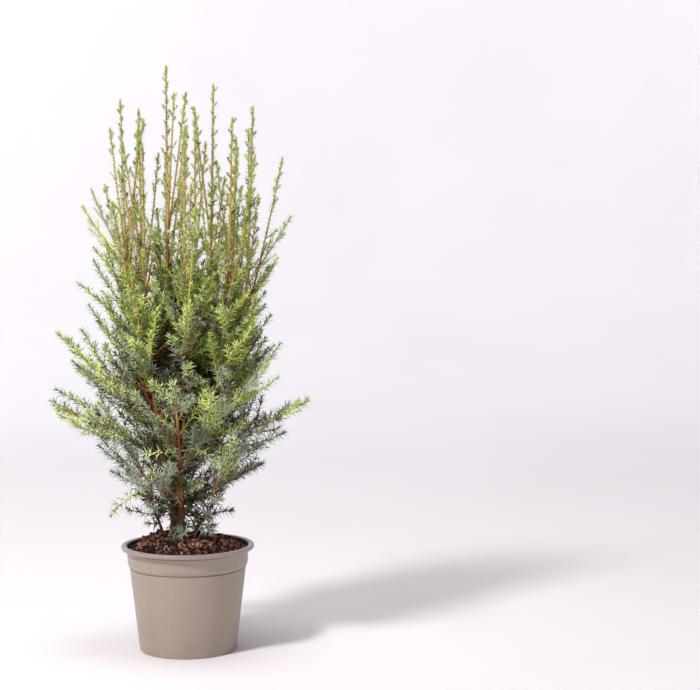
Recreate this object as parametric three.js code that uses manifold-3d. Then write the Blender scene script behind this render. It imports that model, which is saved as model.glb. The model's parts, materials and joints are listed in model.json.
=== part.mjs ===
// A young upright juniper in a round nursery pot, in millimetres, +Z up.
// The origin is the middle of the pot's flat underside, and the plant is seen from -Y, with +X on the right.
// Woody stems rise from the bark mulch, fork low down and bend up into tall thin spires. Each spire, low arm
// and skirt is one mass of leafy shoots: a slim core with pairs of needles that slant to its tip.
import * as THREE from "three";
import { mergeVertices } from "three/addons/utils/BufferGeometryUtils.js";
import Module from "manifold-3d";

const wasm = await Module();
wasm.setup();
const degrees = THREE.MathUtils.degToRad;

// Driving dimensions
const POT_HEIGHT = 135;
const RIM_RADIUS = 85;
const BASE_RADIUS = 61;
const POT_WALL = 1.8;
const POT_SIDES = 28;
const FLOOR_THICKNESS = 3;
const STEP_HEIGHT = 109; // the small step in the wall, under the collar
const SOIL_TOP = 143; // the mound of mulch round the stems
const SOIL_EDGE = 127; // the mulch at the pot's wall
const DRAIN_HOLES = 6;
const DRAIN_RADIUS = 4.5;
const DRAIN_CIRCLE = 42;
const CLEARANCE = 0.3; // between neighbouring solids
const UP = new THREE.Vector3(0, 0, 1);

// The stems that stand in the mulch. Each leaves the ground upright at foot and ends at tip.
const STEMS = {
  trunk: { foot: [-15, 3], tip: [-13, 8, 268], bow: -10, radius: [7.2, 3.4], flare: 3.2, sides: 10 },
  front_stem: { foot: [-6, -13], tip: [-10, -13, 296], bow: 3, radius: [3.8, 2.5], flare: 1.6, sides: 8 },
  left_stem: { foot: [-31, -7], tip: [-44, -9, 200], bow: -2, radius: [1.9, 1.1], flare: 0.8, sides: 6 },
  right_stem: { foot: [9, -9], tip: [33, -16, 197], bow: 2, radius: [1.9, 1.1], flare: 0.8, sides: 6 },
};

// The spires, by where their tips stand, with the stem that each leaves and the height of its fork
const SPIRES = {
  tall: { tip: [-25, 6, 741], from: "trunk", fork: 268, forks: 2 },
  front: { tip: [4, -50, 660], from: "front_stem", fork: 296, forks: 1 },
  left: { tip: [-81, -8, 697], from: "front_stem", fork: 287, forks: 2 },
  right_front: { tip: [62, -42, 672], from: "front_stem", fork: 276, forks: 1 },
  left_front: { tip: [-49, -48, 640], from: "front_stem", fork: 258, forks: 1 },
  right_centre: { tip: [34, 14, 719], from: "trunk", fork: 258, forks: 1 },
  right: { tip: [85, 2, 690], from: "trunk", fork: 246, forks: 1 },
  left_back: { tip: [-64, 38, 690], from: "trunk", fork: 250, forks: 1 },
  back: { tip: [6, 66, 684], from: "trunk", fork: 238, forks: 1 },
  right_back: { tip: [60, 54, 655], from: "trunk", fork: 228, forks: 1 },
  back_left: { tip: [-34, 78, 636], from: "trunk", fork: 222, forks: 1 },
};

// The low masses, by the compass angle they grow towards, how far they reach and the height of their tips
const ARMS = {
  arm_left: { turn: 181, reach: 172, tip: 318, from: "trunk", foot: 232 },
  arm_left_front: { turn: 201, reach: 164, tip: 408, from: "front_stem", foot: 246 },
  arm_front: { turn: 268, reach: 118, tip: 350, from: "front_stem", foot: 236 },
  arm_right_front: { turn: 318, reach: 146, tip: 372, from: "front_stem", foot: 226 },
  arm_right: { turn: 2, reach: 154, tip: 318, from: "trunk", foot: 218 },
  arm_back_right: { turn: 50, reach: 146, tip: 392, from: "trunk", foot: 212 },
  arm_back: { turn: 96, reach: 140, tip: 330, from: "trunk", foot: 206 },
  arm_back_left: { turn: 142, reach: 150, tip: 384, from: "trunk", foot: 214 },
  skirt_left: { turn: 196, reach: 74, tip: 262, from: "left_stem", foot: 200 },
  skirt_front: { turn: 244, reach: 88, tip: 238, from: "front_stem", foot: 186 },
  skirt_right: { turn: 334, reach: 72, tip: 256, from: "right_stem", foot: 197 },
  skirt_back_right: { turn: 24, reach: 96, tip: 232, from: "trunk", foot: 178 },
  skirt_back: { turn: 112, reach: 92, tip: 246, from: "trunk", foot: 184 },
};

// How boughs and shoots grow
const BOUGH_RADIUS = [2.1, 1.5]; // at its fork and its tip
const BOUGH_SIDES = 5;
const BARE_SPIRE = 0.17; // the share of a spire that is its bare bough
const BARE_ARM = 0.3; // the share of an arm or skirt that has no needles
const BARE_STEP = 22; // between the rows of a bare stretch
const SPIRE_NEEDLES = { reach: 7, slant: 25, pitch: 19 }; // how far they stand out, lean on and are apart
const SPRAY_NEEDLES = { reach: 10, slant: 26, pitch: 16.5 };
const CORE_RADIUS = 1.2;
const SIDE_CORE_RADIUS = 1;
const TIP_RADIUS = 0.5;
const FORK_SPAN = [0.42, 0.56]; // where forks leave, as a share of the needled stem
const FORK_REACH = [0.8, 0.92]; // how far they grow, as a share of the way to the stem's tip
const FORK_ANGLE = degrees(13);
const FORK_LIFT = 0.12;
const FORK_BARE = 36;
const SHOOT_TURN = 112; // between one side shoot and the next, round the stem
const SHOOT_STRAY = 25; // how far, in degrees, a side shoot strays from that
const SPIRE_SHOOTS = 7;
const SPIRE_SPAN = 0.66; // the share of a spire's stem that carries side shoots
const ARM_SHOOTS = 4;
const ARM_SPAN = 0.55;
const SIDE_LENGTH = 65; // at the foot of a stem
const SIDE_SHORTENING = 0.6; // how much shorter side shoots get along it
const OUTWARD_GROWTH = 0.5; // how much longer a shoot grows when it faces away from the trunk
const SIDE_ANGLE = degrees(40); // between a side shoot and its stem
const SHOOT_LIFT = 0.55; // how strongly a shoot bends upwards
const SEED = 20231;

// Repeatable draws between 0 and 1.
class Draws {
  constructor(seed) {
    this.state = seed;
  }
  next() {
    this.state = (this.state * 48271) % 2147483647;
    return this.state / 2147483647;
  }
  between(low, high) {
    return low + (high - low) * this.next();
  }
}

// A curve in a vertical plane, measured by the distance along it. side is square to that plane.
class Path {
  constructor(curve, side) {
    this.curve = curve;
    this.side = side;
    this.length = curve.getLength();
  }
  share(distance) {
    return THREE.MathUtils.clamp(distance / this.length, 0, 1);
  }
  at(distance) {
    const point = this.curve.getPointAt(this.share(distance));
    const past = distance - THREE.MathUtils.clamp(distance, 0, this.length);
    return point.addScaledVector(this.along(distance), past);
  }
  along(distance) {
    return this.curve.getTangentAt(this.share(distance));
  }
  over(distance) {
    return new THREE.Vector3().crossVectors(this.side, this.along(distance)).normalize();
  }
  distanceAtHeight(z) {
    let [low, high] = [0, this.length];
    for (let i = 0; i < 30; i++) {
      const middle = (low + high) / 2;
      if (this.at(middle).z < z) low = middle;
      else high = middle;
    }
    return (low + high) / 2;
  }
}

function squareTo(direction) {
  return new THREE.Vector3().crossVectors(UP, direction).normalize();
}

function solidOf(geometry) {
  const bare = geometry.clone();
  for (const name of ["normal", "uv"]) bare.deleteAttribute(name);
  const merged = mergeVertices(bare, 1e-4);
  const corners = [];
  for (let i = 0; i < merged.index.count; i += 3) {
    const [a, b, c] = [0, 1, 2].map((k) => merged.index.getX(i + k));
    if (a !== b && b !== c && c !== a) corners.push(a, b, c);
  }
  const vertProperties = new Float32Array(merged.attributes.position.array);
  return new wasm.Manifold(new wasm.Mesh({ numProp: 3, vertProperties, triVerts: new Uint32Array(corners) }));
}

function geometryOf(solid) {
  const mesh = solid.getMesh();
  const geometry = new THREE.BufferGeometry();
  geometry.setAttribute("position", new THREE.BufferAttribute(new Float32Array(mesh.vertProperties), 3));
  geometry.setIndex(new THREE.BufferAttribute(new Uint32Array(mesh.triVerts), 1));
  geometry.computeVertexNormals();
  return geometry;
}

function largestPiece(solid) {
  return solid.decompose().sort((a, b) => b.volume() - a.volume())[0];
}

// A shape turned round a path. Each row is [radius, distance along the path]. A row of needles also holds the
// [radius, distance] of their tips. Needles stand on every other column, in the gaps of the row before.
function alongPath(path, rows, sides) {
  const points = rows.map(([radius, distance]) => new THREE.Vector2(radius, distance));
  const geometry = new THREE.LatheGeometry(points, sides);
  const { position } = geometry.attributes;
  const isTip = (column, j) => rows[j].length > 2 && (column + j) % 2 === 0;
  for (let column = 0; column <= sides; column++) {
    const angle = (2 * Math.PI * (column % sides)) / sides;
    rows.forEach((row, j) => {
      const [radius, distance] = isTip(column, j) ? row[2] : row;
      const vertex = path.at(distance);
      vertex.addScaledVector(path.side, radius * Math.sin(angle));
      vertex.addScaledVector(path.over(distance), radius * Math.cos(angle));
      position.setXYZ(column * rows.length + j, vertex.x, vertex.y, vertex.z);
    });
  }
  foldBetweenTips(geometry.index, rows.length, sides, isTip);
  return solidOf(geometry);
}

// Turns the fold of each square whose fold would join two needles' tips, so that it joins their roots.
function foldBetweenTips(index, rowCount, sides, isTip) {
  for (let column = 0; column < sides; column++) {
    for (let j = 0; j < rowCount - 1; j++) {
      if (!isTip(column + 1, j) && !isTip(column, j + 1)) continue;
      const near = column * rowCount + j;
      const far = near + rowCount + 1;
      const square = 6 * (column * (rowCount - 1) + j);
      index.setX(square + 2, far);
      index.setX(square + 5, near);
    }
  }
}

// A bare limb that tapers from one end of a stretch of path to the other, with an optional flare at its foot.
function limb(path, from, to, [footRadius, tipRadius], sides, flare = 0, spare = 0) {
  const steps = Math.max(4, Math.round((to - from) / 16));
  const flareReach = 9;
  const rows = [[0, from]];
  for (let i = 0; i <= steps; i++) {
    const t = (i / steps) ** (flare ? 1.35 : 1);
    const distance = from + t * (to - from);
    const swell = flare * Math.exp(-(distance - from) / flareReach);
    const end = i === steps ? spare : 0;
    rows.push([THREE.MathUtils.lerp(footRadius, tipRadius, t) + swell + spare, distance + end]);
  }
  rows.push([0, to + spare]);
  return alongPath(path, rows, sides);
}

// A leafy shoot: a slim core with pairs of needles, each pair turned against the last. Below needlesFrom the
// core is bare.
function leafyShoot(path, from, needlesFrom, needles, coreRadius) {
  const to = path.length;
  const radiusAt = (s) => THREE.MathUtils.lerp(coreRadius, TIP_RADIUS, (s - from) / (to - from));
  const rows = [[0, from], [radiusAt(from), from]];
  const bareSteps = Math.ceil((needlesFrom - from) / BARE_STEP);
  for (let i = 1; i <= bareSteps; i++) {
    const s = from + ((needlesFrom - from) * i) / bareSteps;
    rows.push([radiusAt(s), s]);
  }
  const pairs = Math.max(3, Math.round((to - needlesFrom) / needles.pitch));
  for (let i = 1; i <= pairs; i++) {
    const t = i / (pairs + 1);
    const s = THREE.MathUtils.lerp(needlesFrom, to, t);
    const tip = [needles.reach * (1 - 0.75 * t ** 2), Math.min(s + needles.slant, to - needles.reach / 2)];
    rows.push([radiusAt(s), s, tip]);
  }
  rows.push([0, to]);
  return alongPath(path, rows, 4);
}

// A side shoot's path: it leaves its stem at an angle, at a roll round it, and bends upwards.
function sidePath(stem, distance, roll, angle, length, lift) {
  const start = stem.at(distance);
  const out = stem.side.clone().multiplyScalar(Math.cos(roll));
  out.addScaledVector(stem.over(distance), Math.sin(roll));
  const leaving = stem.along(distance).multiplyScalar(Math.cos(angle));
  leaving.addScaledVector(out, Math.sin(angle));
  const ending = leaving.clone().addScaledVector(UP, lift).normalize();
  const middle = start.clone().addScaledVector(leaving, length / 2);
  const end = middle.clone().addScaledVector(ending, length / 2);
  return new Path(new THREE.QuadraticBezierCurve3(start, middle, end), squareTo(leaving));
}

// The path of a stem that stands in the mulch: upright at the ground, bowed sideways, then on to its tip.
function stemPath({ foot, tip, bow }) {
  const start = new THREE.Vector3(foot[0], foot[1], SOIL_TOP + CLEARANCE);
  const end = new THREE.Vector3(...tip);
  const rise = end.z - start.z;
  const low = start.clone().addScaledVector(UP, rise * 0.3);
  const high = end.clone().add(new THREE.Vector3(bow, 0, -rise * 0.35));
  const side = new THREE.Vector3(0, 1, 0);
  return new Path(new THREE.CubicBezierCurve3(start, low, high, end), side);
}

// The path of a whole spire, from its fork: outwards at first, then bent up to its tip.
function spirePath(stem, { tip, fork }) {
  const start = stem.at(stem.distanceAtHeight(fork));
  const end = new THREE.Vector3(...tip);
  const rise = end.z - start.z;
  const outward = end.clone().sub(start).setZ(0);
  const low = start.clone().addScaledVector(outward, 0.9).addScaledVector(UP, rise * 0.05);
  const high = start.clone().addScaledVector(outward, 0.9).addScaledVector(UP, rise * 0.3);
  return new Path(new THREE.CubicBezierCurve3(start, low, high, end), squareTo(outward));
}

// The path of a low arm or skirt, which leaves its stem low, and rises as it reaches out.
function armPath(stem, { turn, reach, tip, foot }) {
  const start = stem.at(Math.min(stem.distanceAtHeight(foot), stem.length));
  const outward = new THREE.Vector3(Math.cos(degrees(turn)), Math.sin(degrees(turn)), 0);
  const end = outward.clone().multiplyScalar(reach).setZ(tip);
  const way = end.clone().sub(start);
  const rise = way.z;
  way.setZ(0);
  const low = start.clone().addScaledVector(way, 0.3).addScaledVector(UP, rise * 0.45);
  const high = start.clone().addScaledVector(way, 0.72).addScaledVector(UP, rise * 0.72);
  return new Path(new THREE.CubicBezierCurve3(start, low, high, end), squareTo(way));
}

function potSolid() {
  const wallAt = (z) => THREE.MathUtils.lerp(BASE_RADIUS + 1.2, 74.4, z / STEP_HEIGHT);
  const profile = [
    [0, 0], [BASE_RADIUS - 1, 0], [BASE_RADIUS + 0.6, 1.6],
    [wallAt(STEP_HEIGHT - 2), STEP_HEIGHT - 2], [74, STEP_HEIGHT - 0.8], [76, STEP_HEIGHT + 1],
    [77.4, POT_HEIGHT - 7.5], [79.5, POT_HEIGHT - 5.6], [RIM_RADIUS - 1.4, POT_HEIGHT - 5.2],
    [RIM_RADIUS, POT_HEIGHT - 3.4], [RIM_RADIUS - 1, POT_HEIGHT - 0.9], [RIM_RADIUS - 3.4, POT_HEIGHT],
    [78.6, POT_HEIGHT - 0.4], [76.4, POT_HEIGHT - 2.6],
    [74.2 - POT_WALL, STEP_HEIGHT - 1.6], [BASE_RADIUS + 1.2 - POT_WALL, FLOOR_THICKNESS],
    [0, FLOOR_THICKNESS],
  ];
  const points = profile.map(([radius, z]) => new THREE.Vector2(radius, z));
  let pot = solidOf(new THREE.LatheGeometry(points, POT_SIDES).rotateX(Math.PI / 2));
  for (let i = 0; i < DRAIN_HOLES; i++) {
    const angle = (2 * Math.PI * i) / DRAIN_HOLES;
    const drill = new THREE.CylinderGeometry(DRAIN_RADIUS, DRAIN_RADIUS, 4 * FLOOR_THICKNESS, 8);
    drill.rotateX(Math.PI / 2).translate(DRAIN_CIRCLE * Math.cos(angle), DRAIN_CIRCLE * Math.sin(angle), 0);
    pot = pot.subtract(solidOf(drill));
  }
  return pot;
}

// The filling, clear of the wall all round, with a flat top where the stems stand and a slope to the wall.
function mulchSolid() {
  const gap = POT_WALL + CLEARANCE;
  const profile = [
    [0, FLOOR_THICKNESS + CLEARANCE], [BASE_RADIUS + 1 - gap, FLOOR_THICKNESS + CLEARANCE],
    [73.9 - gap, STEP_HEIGHT - 3], [75.4 - gap, SOIL_EDGE], [62, SOIL_EDGE + 7], [44, SOIL_TOP], [0, SOIL_TOP],
  ];
  const points = profile.map(([radius, z]) => new THREE.Vector2(radius, z));
  return solidOf(new THREE.LatheGeometry(points, POT_SIDES).rotateX(Math.PI / 2));
}

const plant = new THREE.Group();
plant.name = "potted_juniper";
const finishes = {
  pot: { color: 0xb2a091, roughness: 0.55 },
  mulch: { color: 0x5a3a2c, roughness: 0.95 },
  bark: { color: 0x6a3d28, roughness: 0.85 },
  shoots: { color: 0x6f8050, roughness: 0.7 },
};
const placed = []; // what later solids have to keep clear of

function place(name, solid, finish) {
  const material = new THREE.MeshStandardMaterial({ metalness: 0, ...finishes[finish] });
  const mesh = new THREE.Mesh(geometryOf(solid), material);
  mesh.name = name;
  plant.add(mesh);
  placed.push(solid);
}

function boxOf(solid) {
  const { min, max } = solid.boundingBox();
  return new THREE.Box3(new THREE.Vector3(...min), new THREE.Vector3(...max));
}

function isClear(solid, others) {
  const box = boxOf(solid).expandByScalar(CLEARANCE);
  const near = others.filter((other) => boxOf(other).intersectsBox(box));
  return near.every((other) => solid.minGap(other, 2 * CLEARANCE) > CLEARANCE);
}

// Stems, then boughs, each cut clear of the limbs that were there before it
const stemPaths = {};
const fatLimbs = [];
function placeLimb(name, path, from, to, radius, sides, flare) {
  let solid = limb(path, from, to, radius, sides, flare);
  for (const fat of fatLimbs) solid = solid.subtract(fat);
  place(name, largestPiece(solid), "bark");
  fatLimbs.push(limb(path, from, to, radius, sides, flare, CLEARANCE + 0.02));
}

place("pot", potSolid(), "pot");
place("mulch", mulchSolid(), "mulch");
for (const [name, stem] of Object.entries(STEMS)) {
  const path = stemPath(stem);
  stemPaths[name] = path;
  placeLimb(name, path, 0, path.length, stem.radius, stem.sides, stem.flare);
}

const masses = [];
for (const [name, spire] of Object.entries(SPIRES)) {
  const path = spirePath(stemPaths[spire.from], spire);
  const bare = BARE_SPIRE * path.length;
  placeLimb("bough_" + name, path, 0, bare, BOUGH_RADIUS, BOUGH_SIDES, 0);
  masses.push({ name: "spire_" + name, path, from: bare + CLEARANCE + 0.02, spire });
}
for (const [name, arm] of Object.entries(ARMS)) {
  masses.push({ name, path: armPath(stemPaths[arm.from], arm), from: 0, arm });
}

// Each mass starts with its main stem, cut clear of the limb that it leaves
for (const mass of masses) {
  const { path, from, spire } = mass;
  if (spire) mass.solid = leafyShoot(path, from, from, SPIRE_NEEDLES, CORE_RADIUS);
  else mass.solid = leafyShoot(path, from, BARE_ARM * path.length, SPRAY_NEEDLES, CORE_RADIUS);
  for (const fat of fatLimbs) mass.solid = mass.solid.subtract(fat);
  mass.solid = largestPiece(mass.solid);
  mass.facing = spire ? 90 : -90; // the roll that faces outwards on a spire, and up on an arm
  mass.outward = path.at(path.length).setZ(0).normalize();
}

// The rest of a mass: forks beside a spire's stem, then side shoots that face outwards more than inwards
function* shootsOf({ path, from, spire, facing, outward }, draws) {
  const grown = path.length - from;
  for (let i = 0; i < (spire ? spire.forks : 0); i++) {
    const distance = from + grown * draws.between(...FORK_SPAN);
    const length = (path.length - distance) * draws.between(...FORK_REACH);
    const fork = sidePath(path, distance, 2 * Math.PI * draws.next(), FORK_ANGLE, length, FORK_LIFT);
    yield leafyShoot(fork, 0, FORK_BARE, SPIRE_NEEDLES, SIDE_CORE_RADIUS);
  }
  const count = spire ? SPIRE_SHOOTS : ARM_SHOOTS;
  for (let i = 0; i < count; i++) {
    const t = (i + draws.between(0.3, 0.7)) / count;
    const distance = from + grown * (spire ? SPIRE_SPAN * t ** 1.2 : BARE_ARM + ARM_SPAN * t);
    const stray = draws.between(-SHOOT_STRAY, SHOOT_STRAY);
    const roll = degrees(facing + SHOOT_TURN * ((i % 3) - 1) + stray);
    const straight = sidePath(path, distance, roll, SIDE_ANGLE, SIDE_LENGTH, 0);
    const outwardness = straight.along(0).dot(outward);
    const vigour = (1 + OUTWARD_GROWTH * outwardness) * (1 - SIDE_SHORTENING * t) * draws.between(0.85, 1.15);
    const shoot = sidePath(path, distance, roll, SIDE_ANGLE, SIDE_LENGTH * vigour, SHOOT_LIFT);
    yield leafyShoot(shoot, 0, 0, SPRAY_NEEDLES, SIDE_CORE_RADIUS);
  }
}

// Masses take turns, so that each keeps the space round its own stem. A shoot that would touch a limb or
// another mass is skipped.
let growing = masses.map((mass, i) => ({ mass, shoots: shootsOf(mass, new Draws(SEED + 97 * i)) }));
while (growing.length) {
  growing = growing.filter(({ mass, shoots }) => {
    const { value: shoot, done } = shoots.next();
    if (done) return false;
    const others = masses.filter((other) => other !== mass).map((other) => other.solid);
    if (isClear(shoot, [...placed, ...others])) mass.solid = mass.solid.add(shoot);
    return true;
  });
}
for (const mass of masses) place(mass.name, largestPiece(mass.solid), "shoots");

export default plant;
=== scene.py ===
"""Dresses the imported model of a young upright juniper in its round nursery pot.

Lengths are in millimetres until a mesh is made, which is in metres, as the studio's are. Stems, boughs
and shoots follow the rule that the part's source grows them by, repeated here and carried on to finer
twigs and needles.
"""

import json
import logging
import math
from dataclasses import dataclass, field
from enum import Enum
from functools import cache
from typing import Any, Iterator

import bmesh
import bpy
import numpy as np
from bpy.types import Mesh, Node, NodeSocket, NodeTree, Object
from mathutils import Matrix, Vector, noise

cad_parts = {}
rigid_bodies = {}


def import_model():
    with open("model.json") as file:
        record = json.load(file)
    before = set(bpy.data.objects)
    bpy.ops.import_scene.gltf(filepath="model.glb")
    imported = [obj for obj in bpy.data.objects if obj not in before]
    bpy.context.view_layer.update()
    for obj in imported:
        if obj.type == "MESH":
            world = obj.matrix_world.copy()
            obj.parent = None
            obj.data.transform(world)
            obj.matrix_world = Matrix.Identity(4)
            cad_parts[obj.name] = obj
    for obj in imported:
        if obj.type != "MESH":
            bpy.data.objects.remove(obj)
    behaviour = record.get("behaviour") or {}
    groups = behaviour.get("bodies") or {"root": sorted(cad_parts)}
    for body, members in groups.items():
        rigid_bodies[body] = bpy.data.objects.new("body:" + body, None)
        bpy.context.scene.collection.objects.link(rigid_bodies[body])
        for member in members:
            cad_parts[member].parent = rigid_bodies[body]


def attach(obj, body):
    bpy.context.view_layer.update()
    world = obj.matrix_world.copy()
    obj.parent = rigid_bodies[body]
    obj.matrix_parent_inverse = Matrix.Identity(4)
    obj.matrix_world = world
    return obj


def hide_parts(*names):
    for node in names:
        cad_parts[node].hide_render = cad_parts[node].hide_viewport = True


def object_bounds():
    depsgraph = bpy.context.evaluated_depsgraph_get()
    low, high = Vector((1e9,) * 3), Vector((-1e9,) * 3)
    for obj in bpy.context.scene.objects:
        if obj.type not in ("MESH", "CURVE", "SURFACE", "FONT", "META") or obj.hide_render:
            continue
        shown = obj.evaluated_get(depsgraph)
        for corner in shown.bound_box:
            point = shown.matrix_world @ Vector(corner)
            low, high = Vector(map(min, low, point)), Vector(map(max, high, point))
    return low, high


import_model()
CAD_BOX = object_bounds()

LOG = logging.getLogger("juniper")
MM = 0.001
UP = np.array([0.0, 0.0, 1.0])
BODY = "root"
PRINCIPLED = "ShaderNodeBsdfPrincipled"
Pair = tuple[float, float]
Triple = tuple[float, float, float]
Colour = Triple


class Wood(Enum):
    """The ages of bark on twigs, from the oldest."""

    RUSSET = "russet"
    AMBER = "amber"
    GREEN = "green"


class Tone(Enum):
    """The greens of the sprays: the dark ones inside, partly older needles' own green and partly painted
    shade, then roughly from the lowest to the highest.
    """

    SHADE = "shade"
    BLUE = "blue"
    DEEP = "deep"
    FRESH = "fresh"
    LIME = "lime"
    OLIVE = "olive"


class Region(Enum):
    """The parts of the crown that twigs and needles are joined by."""

    FRONT_SPIRES = "front_spires"
    BACK_SPIRES = "back_spires"
    ARMS = "arms"


@dataclass(frozen=True)
class StemPlan:
    """A stem that stands in the mulch, as the part's source gives it."""

    foot: Pair
    tip: Triple
    bow: float
    radius: Pair
    flare: float


@dataclass(frozen=True)
class SpirePlan:
    """A spire: where its tip stands, its stem, the height of its fork there and its own forks."""

    tip: Triple
    stem: str
    fork: float
    forks: int


@dataclass(frozen=True)
class ArmPlan:
    """A low arm or skirt: its compass angle, reach, tip height, stem and the height of its foot there."""

    turn: float
    reach: float
    tip: float
    stem: str
    foot: float


@dataclass(frozen=True)
class StrayPlan:
    """A twig on its own: its limb, the height it leaves at, its tip, bow upwards, sparseness and green."""

    limb: str
    height: float
    tip: Triple
    bow: float
    sparseness: float
    tone: Tone | None = None


STEMS = {
    "trunk": StemPlan((-15, 3), (-13, 8, 268), -10, (7.2, 3.4), 3.2),
    "front_stem": StemPlan((-6, -13), (-10, -13, 296), 3, (3.8, 2.5), 1.6),
    "left_stem": StemPlan((-31, -7), (-44, -9, 200), -2, (1.9, 1.1), 0.8),
    "right_stem": StemPlan((9, -9), (33, -16, 197), 2, (1.9, 1.1), 0.8),
}
SPIRES = {
    "tall": SpirePlan((-25, 6, 741), "trunk", 268, 2),
    "front": SpirePlan((4, -50, 660), "front_stem", 296, 1),
    "left": SpirePlan((-81, -8, 697), "front_stem", 287, 2),
    "right_front": SpirePlan((62, -42, 672), "front_stem", 276, 1),
    "left_front": SpirePlan((-49, -48, 640), "front_stem", 258, 1),
    "right_centre": SpirePlan((34, 14, 719), "trunk", 258, 1),
    "right": SpirePlan((85, 2, 690), "trunk", 246, 1),
    "left_back": SpirePlan((-64, 38, 690), "trunk", 250, 1),
    "back": SpirePlan((6, 66, 684), "trunk", 238, 1),
    "right_back": SpirePlan((60, 54, 655), "trunk", 228, 1),
    "back_left": SpirePlan((-34, 78, 636), "trunk", 222, 1),
}
ARMS = {
    "arm_left": ArmPlan(181, 172, 318, "trunk", 232),
    "arm_left_front": ArmPlan(201, 164, 408, "front_stem", 246),
    "arm_front": ArmPlan(268, 118, 350, "front_stem", 236),
    "arm_right_front": ArmPlan(318, 146, 372, "front_stem", 226),
    "arm_right": ArmPlan(2, 154, 318, "trunk", 218),
    "arm_back_right": ArmPlan(50, 146, 392, "trunk", 212),
    "arm_back": ArmPlan(96, 140, 330, "trunk", 206),
    "arm_back_left": ArmPlan(142, 150, 384, "trunk", 214),
    "skirt_left": ArmPlan(196, 74, 262, "left_stem", 200),
    "skirt_front": ArmPlan(244, 88, 238, "front_stem", 186),
    "skirt_right": ArmPlan(334, 72, 256, "right_stem", 197),
    "skirt_back_right": ArmPlan(24, 96, 232, "trunk", 178),
    "skirt_back": ArmPlan(112, 92, 246, "trunk", 184),
}

FRINGES = {
    "trunk": ((30.0, 122.0), (2.8, 4.6), (34.0, 62.0)),
    "front_stem": ((26.0, 150.0), (3.2, 5.2), (28.0, 54.0)),
    "left_stem": ((20.0, 57.0), (3.2, 5.2), (20.0, 42.0)),
    "right_stem": ((12.0, 54.0), (3.0, 5.0), (20.0, 42.0)),
}
STRAYS = (
    StrayPlan("left_stem", 200, (-95, -18, 175), 18, 1.5, Tone.FRESH),
    StrayPlan("front_stem", 147, (-16, -35, 143), 11, 1.3, Tone.BLUE),
    StrayPlan("front_stem", 146, (-1, -36, 156), 6, 1.3, Tone.BLUE),
    StrayPlan("front_stem", 149, (-22, -28, 160), 4, 1.3, Tone.BLUE),
    StrayPlan("right_stem", 152, (36, -38, 158), 8, 1.2),
    StrayPlan("trunk", 168, (26, 30, 162), 10, 1.0),
    StrayPlan("front_stem", 262, (46, -102, 250), 14, 2.6, Tone.DEEP),
    StrayPlan("front_stem", 268, (-42, -98, 263), -10, 2.6, Tone.DEEP),
    StrayPlan("left", 495, (-118, -8, 586), -10, 0.9, Tone.OLIVE),
    StrayPlan("left", 488, (-127, -22, 564), -8, 0.9, Tone.LIME),
    StrayPlan("left", 407, (-135, -12, 468), 5, 0.9, Tone.FRESH),
    StrayPlan("left", 425, (-113, -26, 497), -6, 0.9, Tone.DEEP),
    StrayPlan("left_front", 440, (-110, -40, 512), -6, 0.9, Tone.FRESH),
    StrayPlan("arm_left_front", 345, (-128, -30, 410), 3, 0.9, Tone.FRESH),
    StrayPlan("arm_left_front", 312, (-134, -62, 372), 2, 0.9),
    StrayPlan("arm_left", 272, (-165, -8, 334), 5, 0.9),
    StrayPlan("arm_left", 258, (-121, -24, 288), 2, 1.0),
    StrayPlan("left_stem", 196, (-110, -14, 262), 6, 1.0),
    StrayPlan("right", 470, (132, 8, 552), -8, 1.0),
    StrayPlan("right_back", 420, (112, 74, 500), -8, 1.0),
    StrayPlan("back", 400, (-10, 118, 486), -8, 1.0),
)


@dataclass(frozen=True)
class GrowthRule:
    """How the part's source grows boughs and shoots, in millimetres and degrees."""

    soil_top: float = 143.0
    clearance: float = 0.3
    bough_radius: Pair = (2.1, 1.5)
    bare_spire: float = 0.17
    bare_arm: float = 0.3
    fork_span: Pair = (0.42, 0.56)
    fork_reach: Pair = (0.8, 0.92)
    fork_angle: float = 13.0
    fork_lift: float = 0.12
    shoot_turn: float = 112.0
    shoot_stray: float = 25.0
    spire_shoots: int = 7
    spire_span: float = 0.66
    arm_shoots: int = 4
    arm_span: float = 0.55
    side_length: float = 65.0
    side_shortening: float = 0.6
    outward_growth: float = 0.5
    side_angle: float = 40.0
    shoot_lift: float = 0.55
    shoot_place: Pair = (0.3, 0.7)
    shoot_vigour: Pair = (0.85, 1.15)
    crowding: float = 1.2
    seed: int = 20231
    seed_step: int = 97


RULE = GrowthRule()


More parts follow.
